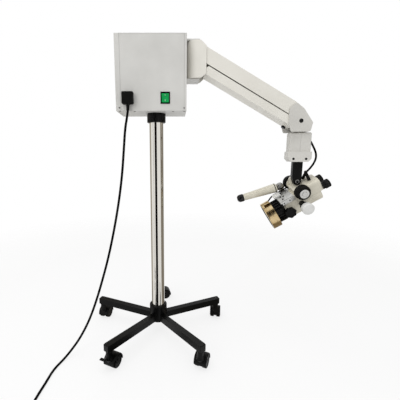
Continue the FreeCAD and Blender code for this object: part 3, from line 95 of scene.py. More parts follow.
def finish(name, dark, light, patch, rough, bump=0.1, grain=1500, metal=0.0, stretch=(1, 1, 1), coat=0.0,
           wear_and_sheen=None, shine=0.5):
    """A surface with drifting colour, uneven gloss and a fine grain; the edge colour given is what rounded
    edges turn to: rubbed paint, and on the black paint also a painted highlight.
    """
    material = bpy.data.materials.new(name)
    material.use_nodes = True
    tree = material.node_tree
    nodes, links = tree.nodes, tree.links
    shader = nodes["Principled BSDF"]
    shader.inputs["Metallic"].default_value = metal
    shader.inputs["Coat Weight"].default_value = coat
    shader.inputs["Specular IOR Level"].default_value = shine
    spot = nodes.new("ShaderNodeTexCoord")
    mapping = nodes.new("ShaderNodeMapping")
    mapping.inputs["Scale"].default_value = stretch
    links.new(spot.outputs["Object"], mapping.inputs["Vector"])

    def noise(scale, detail):
        node = nodes.new("ShaderNodeTexNoise")
        node.inputs["Scale"].default_value = scale
        node.inputs["Detail"].default_value = detail
        links.new(mapping.outputs["Vector"], node.inputs["Vector"])
        return node.outputs["Fac"]

    colours = nodes.new("ShaderNodeValToRGB")
    colours.color_ramp.elements[0].position = 0.3
    colours.color_ramp.elements[1].position = 0.7
    colours.color_ramp.elements[0].color = light_value(dark)
    colours.color_ramp.elements[1].color = light_value(light)
    links.new(noise(patch, 4), colours.inputs["Fac"])
    colour = colours.outputs["Color"]
    # Rounded edges found by the Bevel node blend to the edge colour: rubbed paint, and on the black paint also
    # a painted highlight along the edges.
    if wear_and_sheen:
        rounded = nodes.new("ShaderNodeBevel")
        rounded.samples = 6
        rounded.inputs["Radius"].default_value = 1.2 * MM
        true = nodes.new("ShaderNodeNewGeometry")
        dot = nodes.new("ShaderNodeVectorMath")
        dot.operation = "DOT_PRODUCT"
        links.new(rounded.outputs["Normal"], dot.inputs[0])
        links.new(true.outputs["Normal"], dot.inputs[1])
        edge = nodes.new("ShaderNodeMapRange")
        edge.inputs["From Min"].default_value = 0.93
        edge.inputs["From Max"].default_value = 0.80
        edge.inputs["To Max"].default_value = 0.75
        links.new(dot.outputs["Value"], edge.inputs["Value"])
        broken = nodes.new("ShaderNodeMath")
        broken.operation = "MULTIPLY"
        links.new(edge.outputs["Result"], broken.inputs[0])
        links.new(noise(patch * 8, 2), broken.inputs[1])
        blend = nodes.new("ShaderNodeMix")
        blend.data_type = "RGBA"
        blend.inputs["B"].default_value = light_value(wear_and_sheen)
        links.new(broken.outputs["Value"], blend.inputs["Factor"])
        links.new(colour, blend.inputs["A"])
        colour = blend.outputs["Result"]
    links.new(colour, shader.inputs["Base Color"])
    gloss = nodes.new("ShaderNodeMapRange")
    gloss.inputs["From Min"].default_value = 0.3
    gloss.inputs["From Max"].default_value = 0.7
    gloss.inputs["To Min"].default_value = rough[0]
    gloss.inputs["To Max"].default_value = rough[1]
    links.new(noise(patch * 5, 3), gloss.inputs["Value"])
    links.new(gloss.outputs["Result"], shader.inputs["Roughness"])
    relief = nodes.new("ShaderNodeBump")
    relief.inputs["Strength"].default_value = bump
    relief.inputs["Distance"].default_value = 0.2 * MM
    links.new(noise(grain, 2), relief.inputs["Height"])
    links.new(relief.outputs["Normal"], shader.inputs["Normal"])
    return material


def glow(material, colour, strength):
    """A faint light of its own, as a lit lamp has."""
    shader = material.node_tree.nodes["Principled BSDF"]
    shader.inputs["Emission Color"].default_value = light_value(colour)
    shader.inputs["Emission Strength"].default_value = strength
    return material


BOX_PAINT = finish("box_paint", (202, 201, 197), (213, 212, 208), 9, (0.42, 0.55), 0.22, 1300)
ARM_PAINT = finish("arm_paint", (224, 221, 212), (236, 233, 225), 8, (0.35, 0.5), 0.18, 1300)
COVER_PAINT = finish("cover_paint", (200, 198, 192), (214, 212, 206), 9, (0.38, 0.52), 0.18, 1300)
CREAM = finish("cream_enamel", (206, 201, 184), (222, 217, 201), 20, (0.28, 0.42), 0.14, 1700)
# Black paint: its rounded edges turn grey, partly rubbed paint and partly a painted highlight for the light
# line along the leg tops.
BLACK_PAINT = finish("black_paint", (5, 5, 5), (11, 11, 10), 30, (0.33, 0.48), 0.15, 1500, wear_and_sheen=(62, 60, 57),
                     shine=0.12)
BLACK_PLASTIC = finish("black_plastic", (5, 5, 5), (10, 10, 10), 40, (0.34, 0.48), 0.12, 1900, shine=0.14)
GLOSS_PLASTIC = finish("gloss_plastic", (4, 4, 5), (9, 9, 10), 40, (0.14, 0.24), 0.05, 1500, shine=0.35)
RUBBER = finish("rubber", (7, 7, 7), (14, 14, 13), 60, (0.5, 0.7), 0.25, 1400, shine=0.14)
CORD_JACKET = finish("cord_jacket", (5, 5, 5), (9, 9, 9), 30, (0.5, 0.6), 0.05, 1600, shine=0.06)
CHROME = finish("chrome", (214, 211, 204), (226, 223, 216), 14, (0.04, 0.09), 0.02, 900, metal=1.0,
                stretch=(1, 1, 0.15))
STEEL = finish("steel", (150, 149, 147), (178, 177, 174), 60, (0.22, 0.36), 0.08, 1600, metal=1.0)
ALUMINIUM = finish("aluminium", (196, 196, 194), (212, 212, 209), 60, (0.3, 0.42), 0.05, 1600, metal=1.0)
BLACK_METAL = finish("black_anodised", (6, 6, 7), (13, 13, 14), 60, (0.26, 0.4), 0.08, 1700, metal=0.2,
                     wear_and_sheen=(120, 118, 112), shine=0.2)
BRASS = finish("brass", (192, 166, 120), (220, 198, 156), 50, (0.16, 0.26), 0.06, 1500, metal=1.0)
GREEN = glow(finish("green_lens", (16, 120, 62), (28, 158, 84), 90, (0.12, 0.2), 0.05, 900), (20, 170, 80),
             0.25)
WHITE_PLASTIC = finish("white_plastic", (214, 214, 211), (228, 228, 225), 40, (0.2, 0.3), 0.05, 1500)
GLASS = finish("coated_glass", (28, 24, 52), (46, 42, 78), 60, (0.03, 0.06), 0.01, 500, coat=1.0)
LED_FACE = finish("led_face", (224, 222, 190), (244, 243, 214), 200, (0.25, 0.4), 0.1, 1500)

SLOT_FINISH = {
    "black_paint": BLACK_PAINT, "cream_paint": CREAM, "grey_paint": BOX_PAINT, "chrome": CHROME,
    "steel": STEEL,
    "aluminium": ALUMINIUM, "black_anodised": BLACK_METAL, "brass": BRASS, "black_plastic": BLACK_PLASTIC,
    "gloss_plastic": GLOSS_PLASTIC, "lit_green": GREEN, "white_plastic": WHITE_PLASTIC, "rubber": RUBBER,
    "glass": GLASS,
}
NODE_FINISH = {
    "upper_arm": ARM_PAINT, "lower_arm": ARM_PAINT, "swing_bracket": ARM_PAINT, "elbow_cover": COVER_PAINT,
    "drop_cover": COVER_PAINT, "clamp_block": COVER_PAINT, "led_ring": LED_FACE, "mains_cord": CORD_JACKET,
}


# Mesh building, in a group's own axes and in millimetres
BEVEL_STEPS = 2
SOLID_BEVEL = 0.6
SOLID_BEVEL_ANGLE = 40
PIECE_BEVEL_ANGLE = 38
SHARP_ANGLE = 32
AXES = {"x": (0, 1, 2), "y": (1, 2, 0), "z": (2, 0, 1)}
SHEETS = {"x": (1, 2, 0), "y": (0, 2, 1), "z": (0, 1, 2)}


def arc(centre, radius, start, end, steps):
    """Points on a circle between two angles in degrees."""
    angles = [math.radians(start + (end - start) * step / steps) for step in range(steps + 1)]
    return [(centre[0] + radius * math.cos(a), centre[1] + radius * math.sin(a)) for a in angles]


def rounded(outline, radius, steps=6):
    """The outline with every corner turned into an arc; radius may be one size or one per corner."""
    count = len(outline)
    sizes = radius if hasattr(radius, "__len__") else [radius] * count
    points = []
    for i in range(count):
        corner = Vector(outline[i])
        back = Vector(outline[i - 1]) - corner
        ahead = Vector(outline[(i + 1) % count]) - corner
        half = back.angle(ahead) / 2
        if not sizes[i] or half > math.radians(89):
            points.append(tuple(corner))
            continue
        reach = min(sizes[i] / math.tan(half), back.length * 0.49, ahead.length * 0.49)
        size = reach * math.tan(half)
        back.normalize()
        ahead.normalize()
        centre = corner + (back + ahead).normalized() * (size / math.sin(half))
        one = corner + back * reach - centre
        two = corner + ahead * reach - centre
        for step in range(steps + 1):
            share = step / steps
            points.append(tuple(centre + (one * (1 - share) + two * share).normalized() * size))
    return points


def rectangle(left, right, low, high):
    return [(left, low), (right, low), (right, high), (left, high)]


class Form:
    """Closed shells gathered into one mesh."""

    def __init__(self):
        self.mesh = bmesh.new()

    def corner(self, order, along, one, two, centre=(0, 0, 0)):
        spot = [0, 0, 0]
        for index, value in zip(order, (along, one, two)):
            spot[index] = value + centre[index]
        return self.mesh.verts.new(spot)

    def bridge(self, one, two):
        count = max(len(one), len(two))
        for i in range(count):
            j = (i + 1) % count
            ring = [one[i % len(one)], one[j % len(one)], two[j % len(two)], two[i % len(two)]]
            unique = list(dict.fromkeys(ring))
            if len(unique) > 2:
                self.mesh.faces.new(unique)

    def turned(self, axis, profile, centre=(0, 0, 0), steps=72, ring=False, wave=None):
        """Turned shape. The profile runs as (along, radius); wave changes the radius round the axis."""
        rings = []
        for index, (along, radius) in enumerate(profile):
            if radius < 1e-6:
                rings.append([self.corner(AXES[axis], along, 0, 0, centre)])
                continue
            loop = []
            for step in range(steps):
                angle = 2 * math.pi * step / steps
                size = wave(index, radius, angle) if wave else radius
                loop.append(self.corner(AXES[axis], along, size * math.cos(angle), size * math.sin(angle),
                                        centre))
            rings.append(loop)
        for one, two in zip(rings, rings[1:]):
            self.bridge(one, two)
        if ring:
            self.bridge(rings[-1], rings[0])
        else:
            for loop in (rings[0], rings[-1]):
                if len(loop) > 2:
                    self.mesh.faces.new(loop)
        return self

    def slab(self, axis, outline, low, high):
        """A flat outline drawn out along an axis."""
        one, two, along = SHEETS[axis]
        loops = []
        for height in (low, high):
            loop = []
            for point in outline:
                spot = [0, 0, 0]
                spot[one], spot[two], spot[along] = point[0], point[1], height
                loop.append(self.mesh.verts.new(spot))
            loops.append(loop)
            self.mesh.faces.new(loop)
        self.bridge(*loops)
        return self

    def loft(self, loops):
        """Closed loops of points joined one after the other, with both ends closed."""
        made = [[self.mesh.verts.new(point) for point in loop] for loop in loops]
        for one, two in zip(made, made[1:]):
            self.bridge(one, two)
        self.mesh.faces.new(made[0])
        self.mesh.faces.new(made[-1])
        return self

    def pillow(self, low, high, radius, steps=4):
        """A block with every edge rounded."""
        made = bmesh.ops.create_cube(self.mesh, size=1)
        verts = made["verts"]
        size = Vector(high) - Vector(low)
        middle = (Vector(high) + Vector(low)) / 2
        for vert in verts:
            vert.co = Vector([vert.co[i] * size[i] + middle[i] for i in range(3)])
        edges = list({edge for vert in verts for edge in vert.link_edges})
        bmesh.ops.bevel(self.mesh, geom=edges, offset=radius, segments=steps, profile=0.5, affect="EDGES")
        return self

    def moved(self, axes):
        self.mesh.transform(axes)
        return self

    def joined(self, other):
        """Takes in the shells of another form."""
        block = bpy.data.meshes.new("block")
        other.mesh.to_mesh(block)
        other.mesh.free()
        self.mesh.from_mesh(block)
        bpy.data.meshes.remove(block)
        return self


def flat_object(name, form, axes):
    mesh = bpy.data.meshes.new(name)
    bmesh.ops.recalc_face_normals(form.mesh, faces=form.mesh.faces[:])
    form.mesh.to_mesh(mesh)
    form.mesh.free()
    mesh.transform(Matrix.Scale(MM, 4) @ axes)
    item = bpy.data.objects.new(name, mesh)
    bpy.context.scene.collection.objects.link(item)
    return item


def smooth_faces(mesh):
    for face in mesh.polygons:
        face.use_smooth = True


def even_normals(item):
    normals = item.modifiers.new("Normals", "WEIGHTED_NORMAL")
    normals.keep_sharp = True


def settle(item):
    """Turns the object's modifiers into its own mesh."""
    graph = bpy.context.evaluated_depsgraph_get()
    mesh = bpy.data.meshes.new_from_object(item.evaluated_get(graph))
    item.modifiers.clear()
    item.data = mesh


def soften(item, width, angle):
    """Rounds the edges that turn by more than an angle."""
    bevel = item.modifiers.new("Bevel", "BEVEL")
    bevel.width = width * MM
    bevel.segments = BEVEL_STEPS
    bevel.limit_method = "ANGLE"
    bevel.angle_limit = math.radians(angle)


def carve(item, form, axes):
    """Cuts a form out of the object."""
    tool = flat_object(item.name + "_tool", form, axes)
    step = item.modifiers.new("Boolean", "BOOLEAN")
    step.operation = "DIFFERENCE"
    step.solver = "EXACT"
    step.object = tool
    settle(item)
    bpy.data.objects.remove(tool)


def piece(name, form, axes, body, material, instead=(), width=0, cuts=()):
    """One shown piece: its mesh, its finish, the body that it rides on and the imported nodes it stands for."""
    item = flat_object(name, form, axes)
    for cut, cut_axes in cuts:
        carve(item, cut, cut_axes)
    if width:
        soften(item, width, PIECE_BEVEL_ANGLE)
    item.data.materials.clear()
    item.data.materials.append(material)
    smooth_faces(item.data)
    item.data.set_sharp_from_angle(angle=math.radians(SHARP_ANGLE))
    even_normals(item)
    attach(item, body)
    if instead:
        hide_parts(*instead)
    return item


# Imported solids: softened edges and a finish for every one
def dress(name, material):
    """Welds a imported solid's faces in a modifier, rounds its edges a little and gives it its finish."""
    item = node_objects[name]
    item.data.materials.clear()
    item.data.materials.append(material)
    weld = item.modifiers.new("Weld", "WELD")
    weld.merge_threshold = 0.02 * MM
    soften(item, SOLID_BEVEL, SOLID_BEVEL_ANGLE)
    smooth_faces(item.data)
    even_normals(item)


for entry in frame["record"]["subparts"]:
    name = entry["node"]
    dress(name, NODE_FINISH.get(name) or SLOT_FINISH[entry["material_slot"]])


def knurl(count, deep, rows):
    """Fine grip teeth on the profile rows given."""
    def wave(index, radius, angle):
        return radius - deep * (0.5 - 0.5 * math.cos(count * angle)) if index in rows else radius
    return wave


# Pole and collar
POLE_RADIUS = 28.65
POLE_ENDS = (74, 963)
piece("chrome_pole", Form().turned("z", [(end, POLE_RADIUS) for end in POLE_ENDS], steps=128), WORLD, "stand",
      CHROME, ["pole"])
piece("black_collar", Form().turned("z", [
    (927, 29), (927, 34.5), (928, 36.6), (930, 37.5), (960.5, 37.5), (963, 36.8), (963, 29),
], steps=96), WORLD, "stand", BLACK_PLASTIC, ["pole_collar"])

# Leg end caps with a moulded oval
caps = Form()
lean = Matrix(((1, 0, 0, 0), (0, 1, 0, 0), (LEG_SLOPE, 0, 1, -305 * LEG_SLOPE), (0, 0, 0, 1)))
for yaw in LEG_YAWS:
    cap = Form().pillow((298, -12.7, 82), (305, 12.7, 110), 2.2, 3)
    oval = arc((0, 0), 1, 0, 348, 29)
    loops = [[(304 + lift, 5.8 * y * size, 96 + 8.2 * z * size) for y, z in oval]
             for lift, size in ((0, 1.12), (1.0, 1.06), (1.0, 0.94), (0, 0.88))]
    made = [[cap.mesh.verts.new(point) for point in loop] for loop in loops]
    for one, two in zip(made, made[1:]):
        cap.bridge(one, two)
    caps.joined(cap.moved(placed(yaw=yaw) @ lean))
piece("leg_plugs", caps, WORLD, "stand", BLACK_PLASTIC, ["leg_end_caps"])

# Casters: domed hood on a thick neck, twin wheels, and the brake tab on one of them
CASTER_REACH = 289
WHEEL_MIDDLE = (22, 0, 25)
caster_axes = [placed((CASTER_REACH, 0, 0), yaw=trail - yaw, parent=placed(yaw=yaw, parent=WORLD))
               for yaw, trail in zip(LEG_YAWS, TRAILS)]
for number, axes in enumerate(caster_axes, 1):
    hood = Form().turned("y", [
        (-25, 0), (-25, 26.6), (-24.3, 28.2), (-22.6, 29.1), (-18, 29.5), (18, 29.5), (22.6, 29.1),
        (24.3, 28.2),
        (25, 26.6), (25, 0),
    ], centre=WHEEL_MIDDLE, steps=96)
    rooms = Form()
    for side in (-1, 1):
        rooms.turned("y", [(side * 5, 0), (side * 5, 26.3), (side * 26, 26.3), (side * 26, 0)],
                     centre=WHEEL_MIDDLE, steps=96)
    lower = Form().pillow((-15, -30, -20), (60, 30, 20), 0.5, 1)
    piece(f"caster_dome_{number}", hood, axes, f"caster_{number}", BLACK_PLASTIC,
                  [f"caster_hood_{number}"], cuts=[(rooms, axes), (lower, axes)])
    neck = Form().turned("z", [
        (40, 12), (46, 15.5), (52, 14), (58, 13.2), (66, 13), (77.6, 13), (78.7, 12), (79.8, 12), (79.8, 5.5),
        (106, 5.5),
    ], steps=48)
    piece(f"caster_neck_{number}", neck, axes, f"caster_{number}", BLACK_PLASTIC)
    hub_at = placed(WHEEL_MIDDLE, parent=axes)
    discs = Form()
    treads = Form()
    for side in (-1, 1):
        discs.turned("y", [(side * y, r) for y, r in (
            (6.2, 3), (6.2, 21), (8, 21.6), (22.6, 21.6), (23.5, 20.8), (23.5, 17.4), (22.2, 16.8),
            (22.2, 8.4),
            (23.2, 7.6), (23.2, 2.4), (22.4, 0))], steps=64)
        treads.turned("y", [(side * y, r) for y, r in (
            (6, 21.4), (6, 23.2), (7.2, 24.6), (9, 25), (19.5, 25), (21.8, 24.5), (23, 23.2), (23.2, 21.4))],
            steps=64, ring=True)
    piece(f"wheel_discs_{number}", discs, hub_at, f"wheels_{number}", BLACK_PLASTIC,
          [f"caster_wheels_{number}"])
    piece(f"wheel_treads_{number}", treads, hub_at, f"wheels_{number}", RUBBER)
BRAKED = 4
axes = caster_axes[BRAKED - 1]
tab = Form().slab("y",
                  rounded([(-25, 48), (-16, 47.6), (-13.6, 48.6), (-13.6, 51.8), (-16, 52.4), (-25, 51.6)],
                          1.4),
                  3.9, 27)
tab.turned("y", [(-3.5, 0), (-3.5, 2), (3.9, 2), (3.9, 0)], centre=(-16, 0, 50), steps=24)
piece("brake_tab", tab, axes, "lever", BLACK_PLASTIC, ["brake_lever"], width=0.6)
lug = Form().pillow((-19.5, -3.4, 46.5), (-9.5, 3.4, 53.5), 1, 2)
piece("brake_lug", lug, axes, f"caster_{BRAKED}", BLACK_PLASTIC)

# Lit rocker in its black frame
rocker_axes = placed((38.75, -68, 1009.5), parent=WORLD)
rocker = Form().slab("x", rounded([
    (-10, 15.5), (-9.4, 13), (-7, 5), (-6.1, 0), (-5.9, -5), (-6.1, -12), (-6.5, -15.5), (-1.5, -15.5),
    (5, 0),
    (-5, 15.5)], 0.8, 3), -13.7, 13.7)
piece("rocker_lens", rocker, rocker_axes, "rocker", GREEN, ["switch_rocker"], width=0.5)
marks = Form()
marks.slab("x", rectangle(-9.75, -9.2, 7.2, 12.0), -0.5, 0.5)
marks.turned("y", [(-6.9, 2.2), (-6.9, 1.5), (-6.0, 1.5), (-6.0, 2.2)], centre=(0, 0, -8.2), steps=32,
             ring=True)
piece("rocker_marks", marks, rocker_axes, "rocker", WHITE_PLASTIC)


def screw(form, spot, axis, radius, high, direction):
    """Pan head with a cross recess, standing out along an axis."""
    head = Form().turned("z",
                         [(0, radius), (high * 0.55, radius), (high * 0.9, radius * 0.72),
                          (high, radius * 0.4),
                               (high, 0)], steps=24)
    slot = Form()
    reach = radius * 0.62
    slot.slab("z", rectangle(-reach, reach, -radius * 0.12, radius * 0.12), high * 0.45, high + 1)
    slot.slab("z", rectangle(-radius * 0.12, radius * 0.12, -reach, reach), high * 0.45, high + 1)
    body = flat_object("screw", head, LOCAL)
    carve(body, slot, LOCAL)
    turn = {"x": Euler((0, math.radians(90 * direction), 0)),
            "y": Euler((math.radians(-90 * direction), 0, 0)),
            "z": Euler((0 if direction > 0 else math.pi, 0, 0))}[axis]
    body.data.transform(Matrix.Scale(1 / MM, 4))
    body.data.transform(Matrix.Translation(Vector(spot)) @ turn.to_matrix().to_4x4())
    form.mesh.from_mesh(body.data)
    bpy.data.objects.remove(body)


# Box front: pan head screws
FRONT_SCREWS = [(x, -75.2, 973.5) for x in (-134.2, 110.2)]
UNDER_SCREWS = [(x, -62, 963.2) for x in (-135, -78.4, 67.7, 111.1)]
CLEVIS_SCREWS = [(118.8, y, z) for z in (1096, 1220) for y in (-22, 22)]
box_screws = Form()
for spot in FRONT_SCREWS:
    screw(box_screws, spot, "y", 3.2, 2.0, -1)
for spot in UNDER_SCREWS:
    screw(box_screws, spot, "z", 4.2, 2.6, -1)
for spot in CLEVIS_SCREWS:
    screw(box_screws, spot, "x", 4, 0.6, 1)
piece("box_screws", box_screws, WORLD, "stand", STEEL)

# Magnification grips: two knurled rubber wheels with a turned aluminium cap
grips = Form()
caps = Form()
for side in (-1, 1):
    grips.turned("y", [(side * y, r) for y, r in (
        (52, 22), (52, 28.8), (53.2, 30.2), (55.4, 30.5), (56.2, 29.7), (57.4, 30.4), (66.8, 30.4),
        (67.6, 29.8),
        (70, 30.3), (75.5, 28.2), (80.6, 25.9), (82, 24.6), (81.4, 22.6), (81.4, 18.7))], steps=216,
        wave=knurl(54, 0.55, (5, 6, 8)))
    caps.turned("y", [(side * y, r) for y, r in (
        (80, 4), (80, 18.6), (84.2, 18.6), (85, 17.8), (85, 12.6), (84.3, 12), (84.3, 9.6), (85.4, 9.2),
        (86, 8.4),
        (86, 0))], steps=96)
piece("grip_wheels", grips, HEAD, "drum", RUBBER, ["magnification_grips"])
caps.turned("y", [(-52, 4), (52, 4)], steps=24)
piece("grip_caps", caps, HEAD, "drum", ALUMINIUM, ["magnification_shaft"])

# Prism cover: rounded shell with a seam round it
half, low, top = 40, -50, 4
section = rounded([(-half, low), (half, low), (half, top), (-half, top)], [3, 3, 15, 15], 10)


def shrunk(points, share_y, share_z, x, z_mid=-30):
    return [(x, y * share_y, z_mid + (z - z_mid) * share_z) for y, z in points]


shell = Form().loft([
    shrunk(section, 1, 1, 15), shrunk(section, 1, 1, 76), shrunk(section, 0.985, 0.985, 80.5),
    shrunk(section, 0.95, 0.955, 83.4), shrunk(section, 0.91, 0.92, 84),
])
seam = Form()
for side in (-1, 1):
    seam.slab("z", rectangle(14, 90, side * 39.2, side * 44), -17.8, -17)
seam.slab("z", rectangle(83.2, 90, -44, 44), -17.8, -17)
barrel_room = Form().turned("x", [(13, 0), (13, 39), (71, 39), (71, 0)], centre=(0, 0, BARREL), steps=96)
lug_room = Form().turned("y", [(14.5, 0), (14.5, 24.2), (36.7, 24.2), (36.7, 0)], steps=64)
piece("prism_shell", shell, HEAD, "head", CREAM, ["prism_cover"],
      cuts=[(seam, HEAD), (barrel_room, HEAD), (lug_room, TILT)])

# Eyepieces: stepped black sleeves with a ribbed ring and a soft cup, and a lens in each
for side, name in ((-1, "left"), (1, "right")):
    eye = placed((84, side * 31, -36), parent=HEAD)
    sleeve = Form().turned("x", [
        (0.15, 0), (0.15, 15), (9, 15), (9.6, 16.6), (10, 17.6), (11, 18), (20.5, 18), (21, 17), (22.4, 17),
        (22.9, 18),
        (24, 18), (24, 11), (24, 0)], steps=180, wave=knurl(45, 0.6, (5, 6)))
    piece(f"eyepiece_sleeve_{name}", sleeve, eye, f"dioptre_{name}", BLACK_METAL, [f"dioptre_ring_{name}"])
    cup = Form().turned("x", [
        (24, 11), (24, 17.6), (25, 18), (28, 17.8), (30.2, 17), (31, 15.6), (30.4, 14.2), (28, 12.6),
        (25.4, 11)],
        steps=96, ring=True)
    piece(f"eye_cup_{name}", cup, eye, f"dioptre_{name}", RUBBER)
    lens = Form().turned("x", [(24, 0), (24, 11.2), (24.8, 11.2), (25.9, 8), (26.5, 4), (26.7, 0)], steps=64)
    piece(f"eye_lens_{name}", lens, eye, f"dioptre_{name}", GLASS)

# Focus knob: white cap on a chrome neck, with a black stop disc
focus = placed((-17, 0, -55), parent=HEAD)
piece("focus_cap", Form().turned("y", [
    (-110, 0), (-110, 19.4), (-109.7, 20.6), (-108.8, 22.2), (-106.6, 23.4), (-104, 23.5), (-92, 23.5),
    (-89.4, 23.2),
    (-87.6, 22), (-87, 20), (-87, 0)], steps=96), focus, "focus", WHITE_PLASTIC, ["focus_knob"])
piece("focus_neck", Form().turned("y", [
    (-87.2, 0), (-87.2, 12), (-80, 12), (-79.4, 11.2), (-77, 11.2), (-76.4, 12), (-72, 12), (-72, 0)],
    steps=64),
    focus, "focus", CHROME)
piece("focus_disc", Form().turned("y", [
    (-72.2, 0), (-72.2, 15.8), (-71.2, 17), (-67, 17), (-66, 16), (-66, 12), (-43.05, 12), (-43.05, 0)],
    steps=144,
    wave=knurl(36, 0.5, (2, 3))), focus, "focus", BLACK_METAL)

# Lobed lock knob
lobed = placed((-76, 0, -58), parent=HEAD)
lobes = 7
outline = []
for step in range(140):
    angle = 2 * math.pi * step / 140
    size = 22.6 + 1.4 * math.cos(lobes * angle)
    outline.append((size * math.cos(angle), size * math.sin(angle)))


def level(share, y):
    return [(x * share, y, z * share) for x, z in outline]


knob = Form().loft([level(0.9, -56), level(0.99, -57.2), level(1, -59), level(1, -67), level(0.98, -68.8),
                    level(0.92, -70), level(0.62, -70), level(0.58, -68.6), level(0.2, -68.4)])
piece("lobed_knob", knob, lobed, "slide_lock", BLACK_PLASTIC, ["slide_lock_knob"])
piece("lobed_stem",
      Form().turned("y", [(-56.2, 0), (-56.2, 9), (-53.5, 9), (-53, 4), (-40.05, 4), (-40.05, 0)],
                                  steps=40), lobed, "slide_lock", STEEL)

# Ring light: brass band with a window, black inside
band = Form().turned("x", [
    (-125, 20), (-125, 59.6), (-125.8, 60.8), (-127, 61), (-139.4, 61), (-139.8, 60.2), (-141, 60.2),
    (-141.4, 61),
    (-157.6, 61), (-158, 60.2), (-159.2, 60.2), (-159.6, 61), (-161.4, 61), (-162.6, 60.4), (-163, 59.4),
    (-163, 58),
    (-128, 58), (-128, 20)], centre=(0, 0, BARREL), steps=144, ring=True)
notch = placed((0, 0, BARREL), roll=16, parent=HEAD)
HOLE_TURNS = (50, 62, 95, 140, 200, 260, 320)
holes = Form()
for turn in HOLE_TURNS:
    hole = Form().turned("z", [(52, 0), (52, 1.6), (66, 1.6), (66, 0)], steps=20)
    holes.joined(hole.moved(placed((-136, 0, BARREL), roll=turn)))
window = Form().pillow((-153, -8, 50), (-120, 8, 70), 0.8, 2)
piece("brass_band", band, HEAD, "carriage", BRASS, ["ring_light"], cuts=[(window, notch), (holes, HEAD)])
piece("front_rim", Form().turned("x", [
    (-160, 57.9), (-162.7, 57.9), (-162.9, 57.2), (-162.9, 48), (-161, 47), (-160, 47)],
    centre=(0, 0, BARREL),
    steps=96, ring=True), HEAD, "carriage", BLACK_METAL)

# Handle: ringed cup, tapering grip and a black ball end
grip = Form().turned("x", [
    (17.2, 12), (17.2, 18.8), (18, 20), (19.6, 20.5), (26, 20.5), (29, 20.1), (60, 18.9), (110, 16.9),
    (160, 15.1),
    (166, 14.9), (166, 0)], steps=96)
piece("handle_sleeve", grip, HANDLE, "handle", CREAM, ["handle_grip"])
piece("handle_ring", Form().turned("x", [
    (22.6, 20), (22.6, 20.8), (23, 21), (25.6, 21), (26, 20.8), (26, 20)], steps=96, ring=True), HANDLE,
    "handle",
    BLACK_PLASTIC)
piece("handle_tip", Form().turned("x", [
    (165, 0), (165, 15), (166, 16.4), (169, 17.2), (180, 17.2), (186, 16.2), (191, 13.4), (194, 8.6),
    (195, 0)],
    steps=72), HANDLE, "handle", GLOSS_PLASTIC, ["handle_ball"])
joint = Form().turned("y", [
    (-12, 0), (-12, 9), (-11.2, 12.3), (-8.4, 16.2), (-7.4, 16.7), (7.4, 16.7), (8.4, 16.2), (11.2, 12.3),
    (12, 9),
    (12, 0)], centre=(-47, 60, 8), steps=72)
joint.turned("z", [(-38, 0), (-38, 8), (2, 8), (2, 0)], centre=(-47, 60, 0), steps=40)
joint.pillow((-55, 40, -38), (-39, 68, -26), 2, 3)
piece("handle_knuckle", joint, HEAD, "head", STEEL, ["handle_joint"])

# Cable splitter with two ribbed legs
splitter = Form()
hub_at = Vector((61, 5, 35))
for port in (Vector((46, 30, 4)), Vector((56, -12, 4))):
    reach = port - hub_at
    long = reach.length
    leg = Form().turned("z", [(0, 0), (0, 5.4), (long * 0.3, 5.8), (long * 0.34, 6.4), (long * 0.5, 6.4),
                              (long * 0.53, 5.9), (long * 0.56, 6.4), (long * 0.72, 6.4), (long * 0.75, 5.9),
                              (long * 0.78, 6.4), (long * 0.97, 6.4), (long, 6), (long, 0)], steps=40)
    along_leg = reach.to_track_quat("Z", "Y").to_matrix().to_4x4()
    splitter.joined(leg.moved(Matrix.Translation(hub_at) @ along_leg))
splitter.turned("z", [(-7, 0), (-6.2, 3.2), (-4, 5.6), (0, 7), (4, 6.6), (7, 5), (7, 0)],
                centre=tuple(hub_at),
                steps=48)
piece("cable_splitter", splitter, HEAD, "head", BLACK_PLASTIC, ["cable_plugs"])

# Slide: milled plate with a recess, a long slot, socket screws and a white block
plate = Form().pillow((-92, -47, -12.35), (-31, 40, -6.35), 0.7, 2)
recess = Form().pillow((-60, -22, -8.4), (-20, 14, 0), 0.6, 2)
slot = Form().pillow((-87, -44.2, -10.6), (-26, -41.4, 0), 0.5, 1)
piece("slide_top", plate, HEAD, "carriage", ALUMINIUM, ["slide_plate"], cuts=[(recess, HEAD), (slot, HEAD)])
side_rail = Form().pillow((-86, -47, -24), (-31, -42.5, -11), 0.5, 2)
piece("side_rail", side_rail, HEAD, "carriage", ALUMINIUM)
stop_block = Form().pillow((-100, 4, -6.6), (-68, 36, 2), 1.2, 3)
piece("stop_block", stop_block, HEAD, "carriage", WHITE_PLASTIC)
sockets = Form()
for x, y in ((-65.9, 22.3), (-74, -1), (-63.7, -6.8), (-73.2, -25.9)):
    sockets.turned("z",
                   [(-6.6, 0), (-6.6, 3.1), (-3.9, 3.1), (-3.4, 2.6), (-3.4, 1.5), (-5.2, 1.5), (-5.2, 0)],
                   centre=(x, y, 0), steps=28)
for x, z in ((-53.4, -15.2), (-78.3, -16.3)):
    sockets.turned("y", [(-46.8, 0), (-46.8, 2.6), (-48.4, 2.6), (-48.8, 2.2), (-48.8, 1.3), (-47.4, 1.3),
                         (-47.4, 0)], centre=(x, 0, z), steps=28)
piece("slide_screws", sockets, HEAD, "carriage", BLACK_METAL)

# Tilt pin with its spring clip
piece("pin_head", Form().turned("y", [
    (-14.5, 0), (-14.5, 9), (-16, 9), (-17, 8), (-17, 5.6), (-15.6, 5.2), (-15.6, 3), (-17, 2.6), (-17, 0)],
    steps=56),
    TILT, "head", BLACK_METAL, ["tilt_pin"])
clip = Form()
ring = [(-16.9, 7.6), (-17.5, 7.3), (-17.5, 5.9), (-16.9, 5.6)]
clip.turned("y", ring, steps=56, ring=True)
piece("pin_clip", clip, TILT, "head", STEEL)
piece("pin_shank", Form().turned("y", [(-14.5, 0), (-14.5, 5), (33, 5), (33, 0)], steps=32), TILT, "head",
      STEEL)

